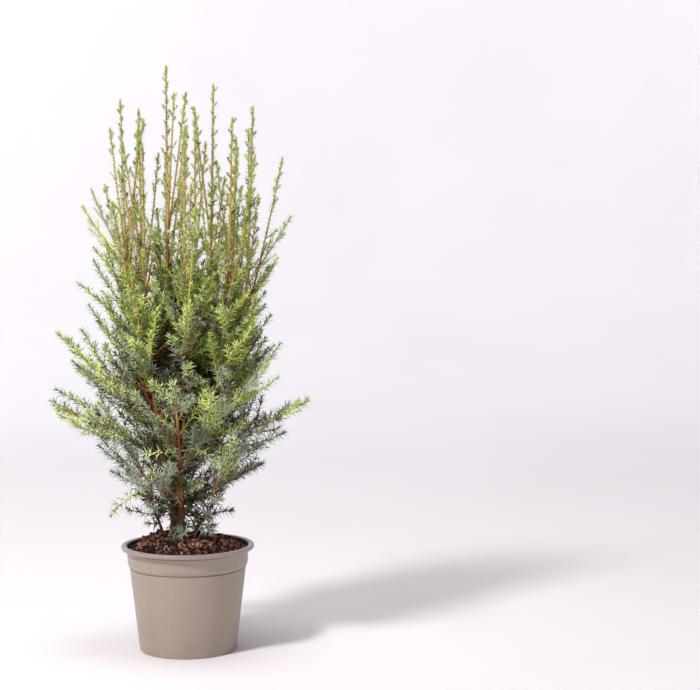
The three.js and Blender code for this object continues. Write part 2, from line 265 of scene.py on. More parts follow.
@dataclass(frozen=True)
class FinerRule:
    """How this script carries the growth on, in millimetres and degrees."""

    leaders: tuple[Triple, ...] = (
        (0.12, 0.8, 10), (0.3, 0.88, 9), (0.04, 0.43, 17), (0.16, 0.36, 19), (0.26, 0.42, 15),
        (0.38, 0.46, 13),
    )
    leader_stray: Pair = (-0.06, 0.06)
    leader_reach: Pair = (0.8, 1.0)
    leader_lift: float = 0.3
    leader_vigour: float = 0.62
    inward_share: float = 0.4
    spacing: Pair = (7.0, 10.5)
    vigour: Pair = (0.5, 1.05)
    shortest: float = 6.0
    tuft_from: float = 0.62
    tuft_shares: Triple = (0.62, 0.76, 1.0)
    tuft_lengths: Triple = (14.0, 8.0, 5.6)
    tuft_spacing: Pair = (4.7, 7.2)
    tuft_vigour: Pair = (0.75, 1.2)
    tuft_angle: float = 42.0
    tuft_stray: Pair = (-8.0, 8.0)
    tuft_lift: float = 0.35
    tuft_sparseness: Pair = (0.5, 0.85)
    side_stray: Pair = (-8.0, 12.0)
    edge_growth: float = 0.9
    edge_vigour: Pair = (0.8, 1.2)
    end_gap: float = 3.0
    tip_length: float = 12.0
    tip_from: float = 0.3
    tip_heights: Pair = (340.0, 480.0)
    tip_sparseness: Pair = (1.0, 0.5)
    tip_radius: Pair = (0.8, 0.55)
    lime_above: float = 400.0
    end_tuft: float = 7.0
    end_radius: Pair = (0.45, 0.4)
    end_sparseness: Pair = (0.85, 0.6)
    stem_radii: Triple = (1.4, 1.15, 0.7)
    stem_swell: float = 1.15
    stem_tip: float = 0.85
    stem_sparseness: Pair = (2.0, 1.6)
    side_radius: Pair = (0.85, 0.5)
    bare_foot: float = 2.5
    bare_share: float = 0.2
    bare_twig: float = 0.8
    bare_runner: float = 3.0
    bare_leader: float = 5.0
    bare_stem: float = 8.0
    bare_stem_share: float = 0.35
    rooted: float = -1.0
    amber_from: float = 62.0
    tufted_from: float = 26.0
    twiggy_from: float = 12.0
    twigless: float = 1.6
    green_leaders: float = 0.36
    old_below: float = 420.0
    bark_change: float = 0.46
    shade_heights: tuple[float, ...] = (150, 300, 430, 520, 580)
    shade_radii: tuple[float, ...] = (58, 84, 56, 26, 0)
    shade_share: float = 0.85
    shade_blur: float = 0.35
    middle: float = -8.0
    outer_radius: float = 118.0
    outer_rise: float = 1.6
    outer_pale: float = 0.009
    arm_taper: Pair = (0.42, 9.0)
    cap_heights: tuple[float, ...] = (300, 390, 480, 560, 620, 680)
    cap_lengths: tuple[float, ...] = (80, 40, 20, 11, 10, 9)
    runner_share: float = 0.2
    runner_heights: Pair = (230.0, 520.0)
    runner_from: float = 14.0
    runner_limes: float = 0.3
    runner_stretch: float = 1.45
    runner_radius: Pair = (1.15, 0.6)
    runner_end_radius: Pair = (0.5, 0.4)
    runner_sparseness: Pair = (1.25, 0.6)
    runner_angle: float = 34.0
    twig_spacing: Pair = (6.0, 9.0)
    twig_crowding: tuple[float, ...] = (1.35, 1.4, 1.3, 1.4, 1.4)
    twig_span: Pair = (0.16, 0.88)
    twig_place: Pair = (0.0, 3.0)
    twig_reach: Pair = (0.35, 0.62)
    twig_length: Pair = (5.0, 24.0)
    twig_radius: Pair = (0.5, 0.36)
    twig_angle: float = 42.0
    twig_lift: float = 0.3
    twig_stray: float = 42.0
    fringe_stray: Pair = (-9.0, 9.0)
    fringe_lift: Pair = (0.05, 0.5)
    fringe_turn: float = 137.5
    fringe_turn_stray: Pair = (-20.0, 20.0)
    thin_heights: Pair = (420.0, 530.0)
    thin_out: float = 3.4
    parting: float = 0.62


FINER = FinerRule()


@dataclass(frozen=True)
class NeedleHabit:
    """How needles stand on shoots at each of a few heights above the ground, in millimetres and degrees."""

    heights: tuple[float, ...] = (170, 330, 470, 600, 741)
    lengths: tuple[float, ...] = (12.8, 11.6, 9.2, 5.8, 4.9)
    spreads: tuple[float, ...] = (70, 66, 62, 55, 54)
    pitches: tuple[float, ...] = (4.2, 3.8, 3.5, 2.9, 2.7)
    widths: tuple[float, ...] = (1.6, 1.45, 1.4, 1.6, 1.7)
    tip_leans: tuple[float, ...] = (0.62, 0.6, 0.58, 0.6, 0.6)
    length_spread: Pair = (0.78, 1.1)
    width_spread: Pair = (0.9, 1.1)
    lean_limits: Pair = (4.0, 85.0)
    lean_stray: float = 7.0
    turn_stray: float = 0.22
    place_stray: float = 0.25
    thickness: float = 0.8
    per_whorl: int = 3
    fewest_whorls: int = 3
    crowding: float = 0.82
    tip_reach: float = 6.0
    tip_length: float = 0.6
    sunk: float = 0.5
    overshoot: float = 0.025

    def at(self, heights: Any, values: tuple[float, ...]) -> Any:
        """Returns what one of the rows of values comes to at some heights."""
        return np.interp(heights, self.heights, values)


HABIT = NeedleHabit()
TONE_HEIGHTS = (200, 280, 350, 450, 600, 741)
TONE_SHARES = {
    Tone.BLUE: (0.82, 0.74, 0.40, 0.08, 0.0, 0.0),
    Tone.DEEP: (0.16, 0.22, 0.36, 0.35, 0.16, 0.08),
    Tone.FRESH: (0.0, 0.02, 0.22, 0.47, 0.32, 0.24),
    Tone.LIME: (0.0, 0.0, 0.02, 0.05, 0.14, 0.28),
    Tone.OLIVE: (0.0, 0.0, 0.0, 0.0, 0.36, 0.40),
}


def unit(vector: np.ndarray) -> np.ndarray:
    """Returns vectors made one long, along their last axis."""
    return vector / np.linalg.norm(vector, axis=-1, keepdims=True)


def square_to(direction: np.ndarray) -> np.ndarray:
    """Returns the level direction square to another, as the part's source takes it."""
    return unit(np.cross(UP, direction))


def linear(red: int, green: int, blue: int) -> Colour:
    """Turns a display colour of 0 to 255 into the linear one that sockets take."""
    shares = (value / 255 for value in (red, green, blue))
    return tuple(s / 12.92 if s <= 0.04045 else ((s + 0.055) / 1.055) ** 2.4 for s in shares)


class Draws:
    """Repeatable draws between 0 and 1, the same as in the part's source."""

    def __init__(self, seed: int) -> None:
        """Starts from a whole number."""
        self.state = seed

    def next(self) -> float:
        """Returns the next draw."""
        self.state = self.state * 48271 % 2147483647
        return self.state / 2147483647

    def between(self, low: float, high: float) -> float:
        """Returns the next draw, spread between two values."""
        return low + (high - low) * self.next()


class Path:
    """A Bezier curve in a plane, measured by the distance along it."""

    def __init__(self, controls: list[np.ndarray], side: np.ndarray, chords: int = 120) -> None:
        """Measures the curve.

        Args:
            controls: The control points.
            side: The direction square to the plane that the curve bends in.
            chords: How many straight pieces its length is measured with.
        """
        self.controls = np.asarray(controls, float)
        self.side = side
        self.shares = np.linspace(0, 1, chords + 1)
        self.places = self._blend(self.controls, self.shares)
        lengths = np.linalg.norm(np.diff(self.places, axis=0), axis=1)
        self.run = np.concatenate([[0.0], np.cumsum(lengths)])
        self.length = float(self.run[-1])

    @staticmethod
    def _blend(controls: np.ndarray, shares: np.ndarray) -> np.ndarray:
        """Returns the points of a Bezier curve at some shares of its parameter.

        Args:
            controls: The curve's control points.
            shares: The shares, from 0 to 1.

        Returns:
            A point for each share.
        """
        layers = np.repeat(controls[:, None, :], len(shares), axis=1)
        while len(layers) > 1:
            layers = layers[:-1] + np.diff(layers, axis=0) * shares[None, :, None]
        return layers[0]

    def points(self, distances: Any) -> np.ndarray:
        """Returns the points at some distances, which may lie past the ends.

        Args:
            distances: One distance or several.

        Returns:
            A point for each distance.
        """
        distances = np.atleast_1d(distances)
        within = np.clip(distances, 0, self.length)
        points = self._blend(self.controls, np.interp(within, self.run, self.shares))
        return points + self.alongs(within) * (distances - within)[:, None]

    def alongs(self, distances: Any) -> np.ndarray:
        """Returns the directions along the curve at some distances."""
        shares = np.interp(np.atleast_1d(distances), self.run, self.shares)
        return unit(self._blend(np.diff(self.controls, axis=0), shares))

    def overs(self, distances: Any) -> np.ndarray:
        """Returns the directions square to the curve in its own plane."""
        return unit(np.cross(self.side, self.alongs(distances)))

    def at(self, distance: float) -> np.ndarray:
        """Returns the point at one distance."""
        return self.points(distance)[0]

    def distance_at_height(self, height: Any) -> Any:
        """Returns how far along a rising curve a height, or each of some heights, is reached."""
        return np.interp(height, self.places[:, 2], self.run)


def stem_path(plan: StemPlan) -> Path:
    """Returns the path of a stem: upright at the ground, bowed sideways, then on to its tip.

    Args:
        plan: The stem's plan.

    Returns:
        The path, from the mulch to the tip.
    """
    start = np.array([*plan.foot, RULE.soil_top + RULE.clearance])
    end = np.array(plan.tip, float)
    rise = end[2] - start[2]
    low = start + UP * rise * 0.3
    high = end + np.array([plan.bow, 0, -rise * 0.35])
    return Path([start, low, high, end], np.array([0.0, 1.0, 0.0]))


def spire_path(stem: Path, plan: SpirePlan) -> Path:
    """Returns the path of a whole spire from its fork: outwards at first, then bent up to its tip.

    Args:
        stem: The path of its stem.
        plan: The spire's plan.

    Returns:
        The path, from the fork to the tip.
    """
    start = stem.at(stem.distance_at_height(plan.fork))
    end = np.array(plan.tip, float)
    outward = (end - start) * [1, 1, 0]
    rise = end[2] - start[2]
    low = start + outward * 0.9 + UP * rise * 0.05
    high = start + outward * 0.9 + UP * rise * 0.3
    return Path([start, low, high, end], square_to(outward))


def arm_path(stem: Path, plan: ArmPlan) -> Path:
    """Returns the path of a low arm or skirt, which rises as it reaches out.

    Args:
        stem: The path of its stem.
        plan: The arm's plan.

    Returns:
        The path, from the stem to the tip.
    """
    start = stem.at(min(stem.distance_at_height(plan.foot), stem.length))
    turn = math.radians(plan.turn)
    end = np.array([plan.reach * math.cos(turn), plan.reach * math.sin(turn), plan.tip])
    way = (end - start) * [1, 1, 0]
    rise = end[2] - start[2]
    low = start + way * 0.3 + UP * rise * 0.45
    high = start + way * 0.72 + UP * rise * 0.72
    return Path([start, low, high, end], square_to(way))


@dataclass(frozen=True)
class Bud:
    """A place on a stem that a side shoot grows out of.

    Args:
        stem: The stem's path.
        distance: How far along the stem it is.
        roll: The angle round the stem that it faces, in degrees.
    """

    stem: Path
    distance: float
    roll: float

    def height(self) -> float:
        """Returns its height above the ground."""
        return self.stem.at(self.distance)[2]

    def shoot(self, angle: float, length: float, lift: float) -> Path:
        """Returns the path of a side shoot, which leaves the stem here and bends upwards.

        Args:
            angle: The angle between it and the stem, in degrees.
            length: How long it is.
            lift: How strongly it bends upwards.

        Returns:
            The path, with its side level.
        """
        start = self.stem.at(self.distance)
        turn, lean = math.radians(self.roll), math.radians(angle)
        out = self.stem.side * math.cos(turn) + self.stem.overs(self.distance)[0] * math.sin(turn)
        leaving = self.stem.alongs(self.distance)[0] * math.cos(lean) + out * math.sin(lean)
        ending = unit(leaving + UP * lift)
        middle = start + leaving * length / 2
        return Path([start, middle, middle + ending * length / 2], square_to(leaving), chords=12)

    def forward(self) -> float:
        """Returns how much it faces the front: one straight forward, nothing sideways and back."""
        return max(0.0, float(-self.shoot(90, 10, 0).alongs(0)[0][1]))


@dataclass
class Shoot:
    """A length of twig, with needles on all or part of it.

    Args:
        path: The path that it follows.
        start: How far along the path it begins.
        radius: Its radius there and at its tip.
        wood: Its bark.
        tone: The green of its needles.
        leafy_from: How far along the path its needles begin.
        sparseness: How far apart its needles stand, beside the usual.
    """

    path: Path
    start: float
    radius: Pair
    wood: Wood
    tone: Tone
    leafy_from: float
    sparseness: float = 1.0


@dataclass(kw_only=True)
class Growth:
    """A part of the crown that grows out of one limb.

    Args:
        region: The part of the crown that it is joined with.
        path: The path of the limb.
        seed: The seed of its draws.
    """

    region: Region
    path: Path
    seed: int
    shoots: list[Shoot] = field(default_factory=list)

    def __post_init__(self) -> None:
        """Starts the draws."""
        self.draws = Draws(RULE.seed + RULE.seed_step * self.seed)

    def grow(self) -> None:
        """Fills in the shoots."""
        raise NotImplementedError

    def spray(self, side: Path, sparseness: float = 1.0, tone: Tone | None = None) -> None:
        """Adds a side shoot and the twigs on both sides of it, all of one tone.

        Args:
            side: The path of the side shoot.
            sparseness: How far apart its needles stand, beside the usual.
            tone: The green of its needles, or none to draw one.
        """
        tone = tone or self.tone_at(side.at(side.length))
        old = tone in (Tone.SHADE, Tone.BLUE)
        wood = Wood.RUSSET if old else Wood.GREEN if side.length < FINER.amber_from else Wood.AMBER
        young = Wood.RUSSET if tone is Tone.SHADE else Wood.GREEN
        bare = min(FINER.bare_foot, FINER.bare_share * side.length)
        self.shoots.append(Shoot(side, 0, FINER.side_radius, wood, tone, bare, sparseness))
        if side.length > FINER.tufted_from:
            end = side.length - FINER.end_tuft
            closeness = float(np.interp(side.at(end)[2], FINER.tip_heights, FINER.end_sparseness))
            self.shoots.append(Shoot(side, end, FINER.end_radius, young, tone, end, closeness))
        distance = side.length * FINER.twig_span[0] + self.draws.between(*FINER.twig_place)
        twiggy = side.length > FINER.twiggy_from and sparseness < FINER.twigless
        last = side.length * FINER.twig_span[1] if twiggy else 0
        i = 0
        while distance < last:
            length = (side.length - distance) * self.draws.between(*FINER.twig_reach)
            length = float(np.clip(length, *FINER.twig_length))
            roll = 180 * (i % 2) + self.draws.between(-1, 1) * FINER.twig_stray
            twig = Bud(side, distance, roll).shoot(FINER.twig_angle, length, FINER.twig_lift)
            self.shoots.append(Shoot(twig, 0, FINER.twig_radius, young, tone, FINER.bare_twig, sparseness))
            apart = HABIT.at(side.at(distance)[2], FINER.twig_crowding)
            distance += self.draws.between(*FINER.twig_spacing) * apart
            i += 1

    def tone_at(self, place: np.ndarray) -> Tone:
        """Draws the green of a spray by its height and by how deep inside the crown or far out it ends.

        Args:
            place: Where the spray ends.

        Returns:
            Its green.
        """
        within = np.interp(place[2], FINER.shade_heights, FINER.shade_radii)
        radius = math.hypot(place[0] - FINER.middle, place[1])
        depth = (within - radius) / (FINER.shade_blur * within + 1)
        # Sprays deep inside the crown take the dark green that is partly painted shade.
        if self.draws.next() < FINER.shade_share * min(1.0, depth):
            return Tone.SHADE
        far = max(0.0, radius - FINER.outer_radius)
        if self.draws.next() < FINER.outer_pale * far:
            return Tone.OLIVE
        height = place[2] + FINER.outer_rise * far
        shares = {tone: np.interp(height, TONE_HEIGHTS, row) for tone, row in TONE_SHARES.items()}
        draw = self.draws.next() * sum(shares.values())
        for tone, share in shares.items():
            draw -= share
            if draw <= 0:
                return tone
        return Tone.FRESH


@dataclass(kw_only=True)
class Fringe(Growth):
    """Leafy side shoots straight out of a stem or bough.

    Args:
        span: How far along the limb they begin and end.
        spacing: The least and greatest distance between them.
        angle: Their angle with the limb at the foot and the top of the span.
        reach: Their least and greatest length.
        parting: How much shorter the ones that face the front are.
    """

    span: Pair
    spacing: Pair
    angle: Pair
    reach: Pair
    parting: float = 0.0

    def grow(self) -> None:
        """Lines the limb all round."""
        distance, last = self.span
        roll = 360 * self.draws.next()
        while distance < last:
            share = (distance - self.span[0]) / (last - self.span[0])
            angle = self.angle[0] + (self.angle[1] - self.angle[0]) * share
            angle += self.draws.between(*FINER.fringe_stray)
            lift = self.draws.between(*FINER.fringe_lift)
            bud = Bud(self.path, distance, roll)
            length = self.draws.between(*self.reach) * (1 - self.parting * bud.forward())
            self.spray(bud.shoot(angle, length, lift))
            distance += self.draws.between(*self.spacing)
            roll += FINER.fringe_turn + self.draws.between(*FINER.fringe_turn_stray)


@dataclass(kw_only=True)
class Stray(Growth):
    """One leafy twig that hangs or leans out on its own along the given path."""

    sparseness: float
    tone: Tone | None = None

    def grow(self) -> None:
        """Adds the twig's spray."""
        self.spray(self.path, self.sparseness, self.tone)


@dataclass(kw_only=True)
class Mass(Growth):
    """One spire, arm or skirt of the crown, by the rule of the part's source.

    Args:
        node: The node that it stands for.
        start: How far along the path its own stem begins.
        facing: The roll that faces outwards on a spire, and up on an arm.
        forks: How many forks the part's source gives it.
    """

    node: str
    start: float
    facing: float
    forks: int

    def grow(self) -> None:
        """Fills in the shoots, from the main stem to the last twigs."""
        self.on_spire = self.region is not Region.ARMS
        self.outward = unit(self.path.at(self.path.length) * [1, 1, 0])
        self.grown = self.path.length - self.start
        stems = [*self._source_forks()]
        for side in [*self._source_sides()]:
            self.spray(side)
        self.draws = Draws(RULE.seed * 3 + RULE.seed_step * self.seed)
        if self.on_spire:
            stems += [*self._leaders()]
        foot = RULE.bough_radius[1]
        radii = (foot, FINER.stem_swell * foot, FINER.stem_tip)
        self._stem(self.path, self.start, radii, Wood.RUSSET)
        self._line_with_sides(self.path, self.start, 1.0)
        for stem in stems:
            lower = Wood.RUSSET if stem.at(0)[2] < FINER.old_below else Wood.AMBER
            lower = Wood.GREEN if self.draws.next() < FINER.green_leaders else lower
            self._stem(stem, 0.0, FINER.stem_radii, lower)
            self._line_with_sides(stem, FINER.bare_leader, FINER.leader_vigour)

    def _source_forks(self) -> Iterator[Path]:
        """Yields the forks of the part's source.

        Yields:
            The path of each fork.
        """
        for _ in range(self.forks):
            distance = self.start + self.grown * self.draws.between(*RULE.fork_span)
            length = (self.path.length - distance) * self.draws.between(*RULE.fork_reach)
            roll = 360 * self.draws.next()
            yield Bud(self.path, distance, roll).shoot(RULE.fork_angle, length, RULE.fork_lift)

    def _source_sides(self) -> Iterator[Path]:
        """Yields the side shoots of the part's source.

        Yields:
            The path of each side shoot.
        """
        count = RULE.spire_shoots if self.on_spire else RULE.arm_shoots
        for i in range(count):
            t = (i + self.draws.between(*RULE.shoot_place)) / count
            share = RULE.spire_span * t**RULE.crowding if self.on_spire else RULE.bare_arm + RULE.arm_span * t
            distance = self.start + self.grown * share
            stray = self.draws.between(-RULE.shoot_stray, RULE.shoot_stray)
            bud = Bud(self.path, distance, self.facing + RULE.shoot_turn * (i % 3 - 1) + stray)
            vigour = self._vigour(bud, t, 1.0) * self.draws.between(*RULE.shoot_vigour)
            yield bud.shoot(RULE.side_angle, RULE.side_length * vigour, RULE.shoot_lift)

    def _vigour(self, bud: Bud, t: float, one_sided: float) -> float:
        """Returns how strongly a side shoot grows: more when it faces outwards, less towards the tip.

        Args:
            bud: The place that it leaves.
            t: How far up the stem's leafy part it is.
            one_sided: How much facing outwards counts, beside the source's rule.

        Returns:
            Its length as a share of the usual.
        """
        outwardness = bud.shoot(RULE.side_angle, RULE.side_length, 0).alongs(0)[0] @ self.outward
        return (1 + RULE.outward_growth * one_sided * outwardness) * (1 - RULE.side_shortening * t)

    def _leaders(self) -> Iterator[Path]:
        """Yields thinner leaders beside the main stem of a spire.

        Yields:
            The path of each leader.
        """
        for share, reach, angle in FINER.leaders:
            distance = self.start + self.grown * (share + self.draws.between(*FINER.leader_stray))
            length = (self.path.length - distance) * reach * self.draws.between(*FINER.leader_reach)
            roll = 360 * self.draws.next()
            yield Bud(self.path, distance, roll).shoot(angle, length, FINER.leader_lift)

    def _stem(self, stem: Path, first: float, radii: Triple, wood: Wood) -> None:
        """Adds a stem, old bark first and younger bark above.

        Args:
            stem: The stem's path.
            first: How far along it the stem begins.
            radii: Its radius at its foot, where the bark changes and at its tip.
            wood: The bark of its lower part.
        """
        change = first + (stem.length - first) * FINER.bark_change
        tone = self.tone_at(stem.at(stem.length))
        young = Wood.GREEN if wood is Wood.GREEN else Wood.AMBER
        old_sparseness, young_sparseness = FINER.stem_sparseness
        self.shoots.append(Shoot(stem, change, radii[1:], young, tone, change, young_sparseness))
        lower = Path(self._part(stem, first, change), stem.side)
        high = self.on_spire and first > 0
        leafy = FINER.bare_stem_share * lower.length if high else FINER.bare_stem
        self.shoots.append(Shoot(lower, FINER.rooted, radii[:2], wood, tone, leafy, old_sparseness))
        self._tip(stem)

    def _tip(self, stem: Path) -> None:
        """Adds the close pale needles of a stem's tip.

        Args:
            stem: The stem's path.
        """
        start = max(stem.length - FINER.tip_length, FINER.tip_from * stem.length)
        height = stem.at(stem.length)[2]
        tone = Tone.LIME if height > FINER.lime_above else Tone.FRESH
        sparseness = float(np.interp(height, FINER.tip_heights, FINER.tip_sparseness))
        self.shoots.append(Shoot(stem, start, FINER.tip_radius, Wood.AMBER, tone, start, sparseness))

    @staticmethod
    def _part(path: Path, first: float, last: float) -> np.ndarray:
        """Returns control points that follow a gently bent part of a path.

        Args:
            path: The whole path.
            first: How far along it the part begins.
            last: How far along it ends.

        Returns:
            Four control points.
        """
        ends = path.points([first, last])
        reach = (last - first) / 3
        handles = path.alongs([first, last]) * [[reach], [-reach]]
        return np.array([ends[0], ends[0] + handles[0], ends[1] + handles[1], ends[1]])

    def _line_with_sides(self, stem: Path, first: float, vigour: float) -> None:
        """Lines a stem with side shoots between those of the part's source, and with tufts near its tip.

        Args:
            stem: The stem's path.
            first: How far along it the first side shoot leaves.
            vigour: How strongly they grow, beside those of a main stem.
        """
        distance = first + self.draws.between(*FINER.spacing)
        i = 0
        while distance < stem.length - FINER.end_gap:
            share = (distance - first) / (stem.length - first)
            stray = self.draws.between(-1, 1) * FINER.twig_stray
            bud = Bud(stem, distance, self.facing + RULE.shoot_turn * (i % 3 - 1) + stray)
            if share > FINER.tuft_from:
                self._tuft(bud, share)
                distance += self.draws.between(*FINER.tuft_spacing)
            else:
                self._side(bud, share, vigour)
                thinness = np.interp(bud.height(), FINER.thin_heights, (1, FINER.thin_out))
                distance += self.draws.between(*FINER.spacing) * thinness
            i += 1

    def _tuft(self, bud: Bud, share: float) -> None:
        """Adds a short close shoot near a stem's tip.

        Args:
            bud: The place that it leaves.
            share: How far that is along the stem, as a share.
        """
        tuft = float(np.interp(share, FINER.tuft_shares, FINER.tuft_lengths))
        length = min(tuft, self._longest(bud)) * self.draws.between(*FINER.tuft_vigour)
        angle = FINER.tuft_angle + self.draws.between(*FINER.tuft_stray)
        closeness, looseness = FINER.tuft_sparseness
        side = bud.shoot(angle, length, FINER.tuft_lift)
        self.spray(side, closeness if length < FINER.twiggy_from else looseness)

    def _side(self, bud: Bud, share: float, vigour: float) -> None:
        """Adds a side shoot or a runner, no longer than the crown's outline lets it.

        Args:
            bud: The place that it leaves.
            share: How far that is along the stem, as a share.
            vigour: How strongly it grows, beside those of a main stem.
        """
        grown = self._vigour(bud, self._age(share), FINER.inward_share) * vigour
        length = RULE.side_length * grown * self.draws.between(*FINER.vigour)
        edge = 1 + FINER.edge_growth * max(0.0, math.sin(math.radians(bud.roll)))
        length = min(length, self._longest(bud) * edge * self.draws.between(*FINER.edge_vigour))
        if not self.on_spire:
            slope, least = FINER.arm_taper
            length = min(length, slope * (bud.stem.length - bud.distance) + least)
        whole = max(float(length), FINER.shortest)
        length = max(whole * self._parted(bud), FINER.shortest)
        angle = RULE.side_angle + self.draws.between(*FINER.side_stray)
        low, high = FINER.runner_heights
        runs = self.draws.next() < FINER.runner_share
        if runs and low < bud.height() < high and whole > FINER.runner_from:
            self._runner(bud, FINER.runner_stretch * whole)
        else:
            self.spray(bud.shoot(angle, length, RULE.shoot_lift))

    def _runner(self, bud: Bud, length: float) -> None:
        """Adds a long young shoot whose bright stem shows between its needles.

        Args:
            bud: The place that it leaves.
            length: How long it is.
        """
        side = bud.shoot(FINER.runner_angle, length, RULE.shoot_lift)
        high = side.at(side.length)[2] > FINER.lime_above
        tone = Tone.LIME if high and self.draws.next() < FINER.runner_limes else Tone.FRESH
        loose, close = FINER.runner_sparseness
        bare = FINER.bare_runner
        self.shoots.append(Shoot(side, 0, FINER.runner_radius, Wood.GREEN, tone, bare, loose))
        end = side.length - FINER.end_tuft
        self.shoots.append(Shoot(side, end, FINER.runner_end_radius, Wood.GREEN, tone, end, close))

    @staticmethod
    def _longest(bud: Bud) -> float:
        """Returns how long a side shoot may be at its height."""
        return float(np.interp(bud.height(), FINER.cap_heights, FINER.cap_lengths))

    def _parted(self, bud: Bud) -> float:
        """Returns the share of its length a side shoot keeps: less where it hides a front spire's stem."""
        hiding = bud.forward() if self.region is Region.FRONT_SPIRES else 0.0
        return 1 - FINER.parting * hiding

    def _age(self, share: float) -> float:
        """Returns the t of the source's rule for a share of the grown length."""
        on_arm = float(np.clip((share - RULE.bare_arm) / RULE.arm_span, 0, 1))
        return min((share / RULE.spire_span) ** (1 / RULE.crowding), 1.0) if self.on_spire else on_arm


class Graph:
    """Adds nodes to a node tree, with their settings and inputs."""

    def __init__(self, tree: NodeTree) -> None:
        """Takes the tree that nodes are added to."""
        self.tree = tree

    def add(self, kind: str, inputs: dict[Any, Any] | None = None, **settings: Any) -> Node:
        """Adds a node.

        Args:
            kind: The node's type.
            inputs: A value or an output socket for each input, by name or place.
            **settings: The node's own properties.

        Returns:
            The node.
        """
        node = self.tree.nodes.new(kind)
        for name, value in settings.items():
            setattr(node, name, value)
        for name, value in (inputs or {}).items():
            if isinstance(value, NodeSocket):
                self.tree.links.new(value, node.inputs[name])
            else:
                node.inputs[name].default_value = value
        return node

    def out(self, kind: str, inputs: Any = None, output: int | str = 0, **settings: Any) -> NodeSocket:
        """Adds a node and returns one of its outputs, the first if none is named."""
        return self.add(kind, inputs, **settings).outputs[output]

    def maths(self, operation: str, first: Any, second: Any) -> NodeSocket:
        """Works one value out of two."""
        return self.out("ShaderNodeMath", {0: first, 1: second}, operation=operation)

    def ramp(self, value: Any, low: Any, high: Any, first: float = 0.0, last: float = 1.0) -> NodeSocket:
        """Spreads a value between two limits over another range, and no further."""
        limits = {"Value": value, "From Min": low, "From Max": high, "To Min": first, "To Max": last}
        return self.out("ShaderNodeMapRange", limits)

    def end(self, geometry: NodeSocket, *dressings: dict[Any, Any]) -> NodeTree:
        """Ends a geometry tree: its instances become mesh, and each dressing sets a material.

        Args:
            geometry: The geometry so far.
            *dressings: A material each, with the faces that it is for.

        Returns:
            The finished tree.
        """
        geometry = self.out("GeometryNodeRealizeInstances", {0: geometry})
        for dressing in dressings:
            geometry = self.out("GeometryNodeSetMaterial", {0: geometry, **dressing})
        self.add("NodeGroupOutput", {0: geometry})
        return self.tree


def new_tree(name: str, kind: str, inputs: dict[str, tuple[str, Any]], outputs: dict[str, str]) -> Graph:
    """Makes a node tree or shader group with named sockets.

    Args:
        name: The tree's name.
        kind: The tree's type.
        inputs: The kind of socket and the first value of each input.
        outputs: The kind of socket of each output.

    Returns:
        The tree, ready for nodes.
    """
    tree = bpy.data.node_groups.new(name, kind)
    for label, (socket, value) in inputs.items():
        made = tree.interface.new_socket(label, in_out="INPUT", socket_type=f"NodeSocket{socket}")
        if value is not None:
            made.default_value = value
    for label, socket in outputs.items():
        tree.interface.new_socket(label, in_out="OUTPUT", socket_type=f"NodeSocket{socket}")
    return Graph(tree)


def placed(name: str, data: bpy.types.ID) -> Object:
    """Makes an object of a mesh, camera or light and puts it in the scene.

    Args:
        name: The object's name.
        data: What it shows.

    Returns:
        The object.
    """
    piece = bpy.data.objects.new(name, data)
    bpy.context.scene.collection.objects.link(piece)
    return piece


def realised(name: str, mesh: Mesh, tree: NodeTree, values: dict[str, Any]) -> Object:
    """Runs a geometry tree on a mesh and keeps the result as a plain mesh.

    Args:
        name: The name of the finished piece.
        mesh: What the tree starts from.
        tree: The geometry tree.
        values: A value for each of the tree's inputs, by name.

    Returns:
        The finished piece, with no modifier.
    """
    piece = placed(name, mesh)
    modifier = piece.modifiers.new("growth", "NODES")
    modifier.node_group = tree
    sockets = {item.name: item.identifier for item in tree.interface.items_tree}
    for label, value in values.items():
        modifier[sockets[label]] = value
    return applied(piece)


def applied(piece: Object) -> Object:
    """Turns a piece and its modifiers into a plain mesh.

    Args:
        piece: The piece.

    Returns:
        The same piece, with no modifier.
    """
    depsgraph = bpy.context.evaluated_depsgraph_get()
    mesh = bpy.data.meshes.new_from_object(piece.evaluated_get(depsgraph), depsgraph=depsgraph)
    piece.modifiers.clear()
    piece.data = mesh
    mesh.name = piece.name
    return piece


def point_mesh(name: str, points: np.ndarray, edges: np.ndarray | None = None, **vectors: np.ndarray) -> Mesh:
    """Makes a mesh of points, with attributes, for a geometry tree to work on.

    Args:
        name: The mesh's name.
        points: The points, in metres.
        edges: The pairs of points that are joined.
        **vectors: Attributes of the points, of one or three numbers each.

    Returns:
        The mesh.
    """
    mesh = bpy.data.meshes.new(name)
    mesh.vertices.add(len(points))
    mesh.vertices.foreach_set("co", points.astype(np.float32).ravel())
    if edges is not None:
        mesh.edges.add(len(edges))
        mesh.edges.foreach_set("vertices", edges.astype(np.int32).ravel())
    for label, values in vectors.items():
        kind, key = ("FLOAT_VECTOR", "vector") if values.ndim == 2 else ("FLOAT", "value")
        attribute = mesh.attributes.new(label, kind, "POINT")
        attribute.data.foreach_set(key, values.astype(np.float32).ravel())
    mesh.update()
    return mesh


def mesh_of(name: str, bm: bmesh.types.BMesh) -> Mesh:
    """Makes a mesh of an edited one and frees that.

    Args:
        name: The mesh's name.
        bm: The edited mesh.

    Returns:
        The mesh.
    """
    mesh = bpy.data.meshes.new(name)
    bm.to_mesh(mesh)
    bm.free()
    return mesh


def circle_angles(count: int) -> np.ndarray:
    """Returns angles that are spaced evenly round a circle."""
    return 2 * math.pi * np.arange(count) / count


def level_ring(radius: float, height: float, sides: int) -> np.ndarray:
    """Returns a level ring of points round the axis."""
    angles = circle_angles(sides)
    return np.column_stack([radius * np.cos(angles), radius * np.sin(angles), np.full(sides, height)])


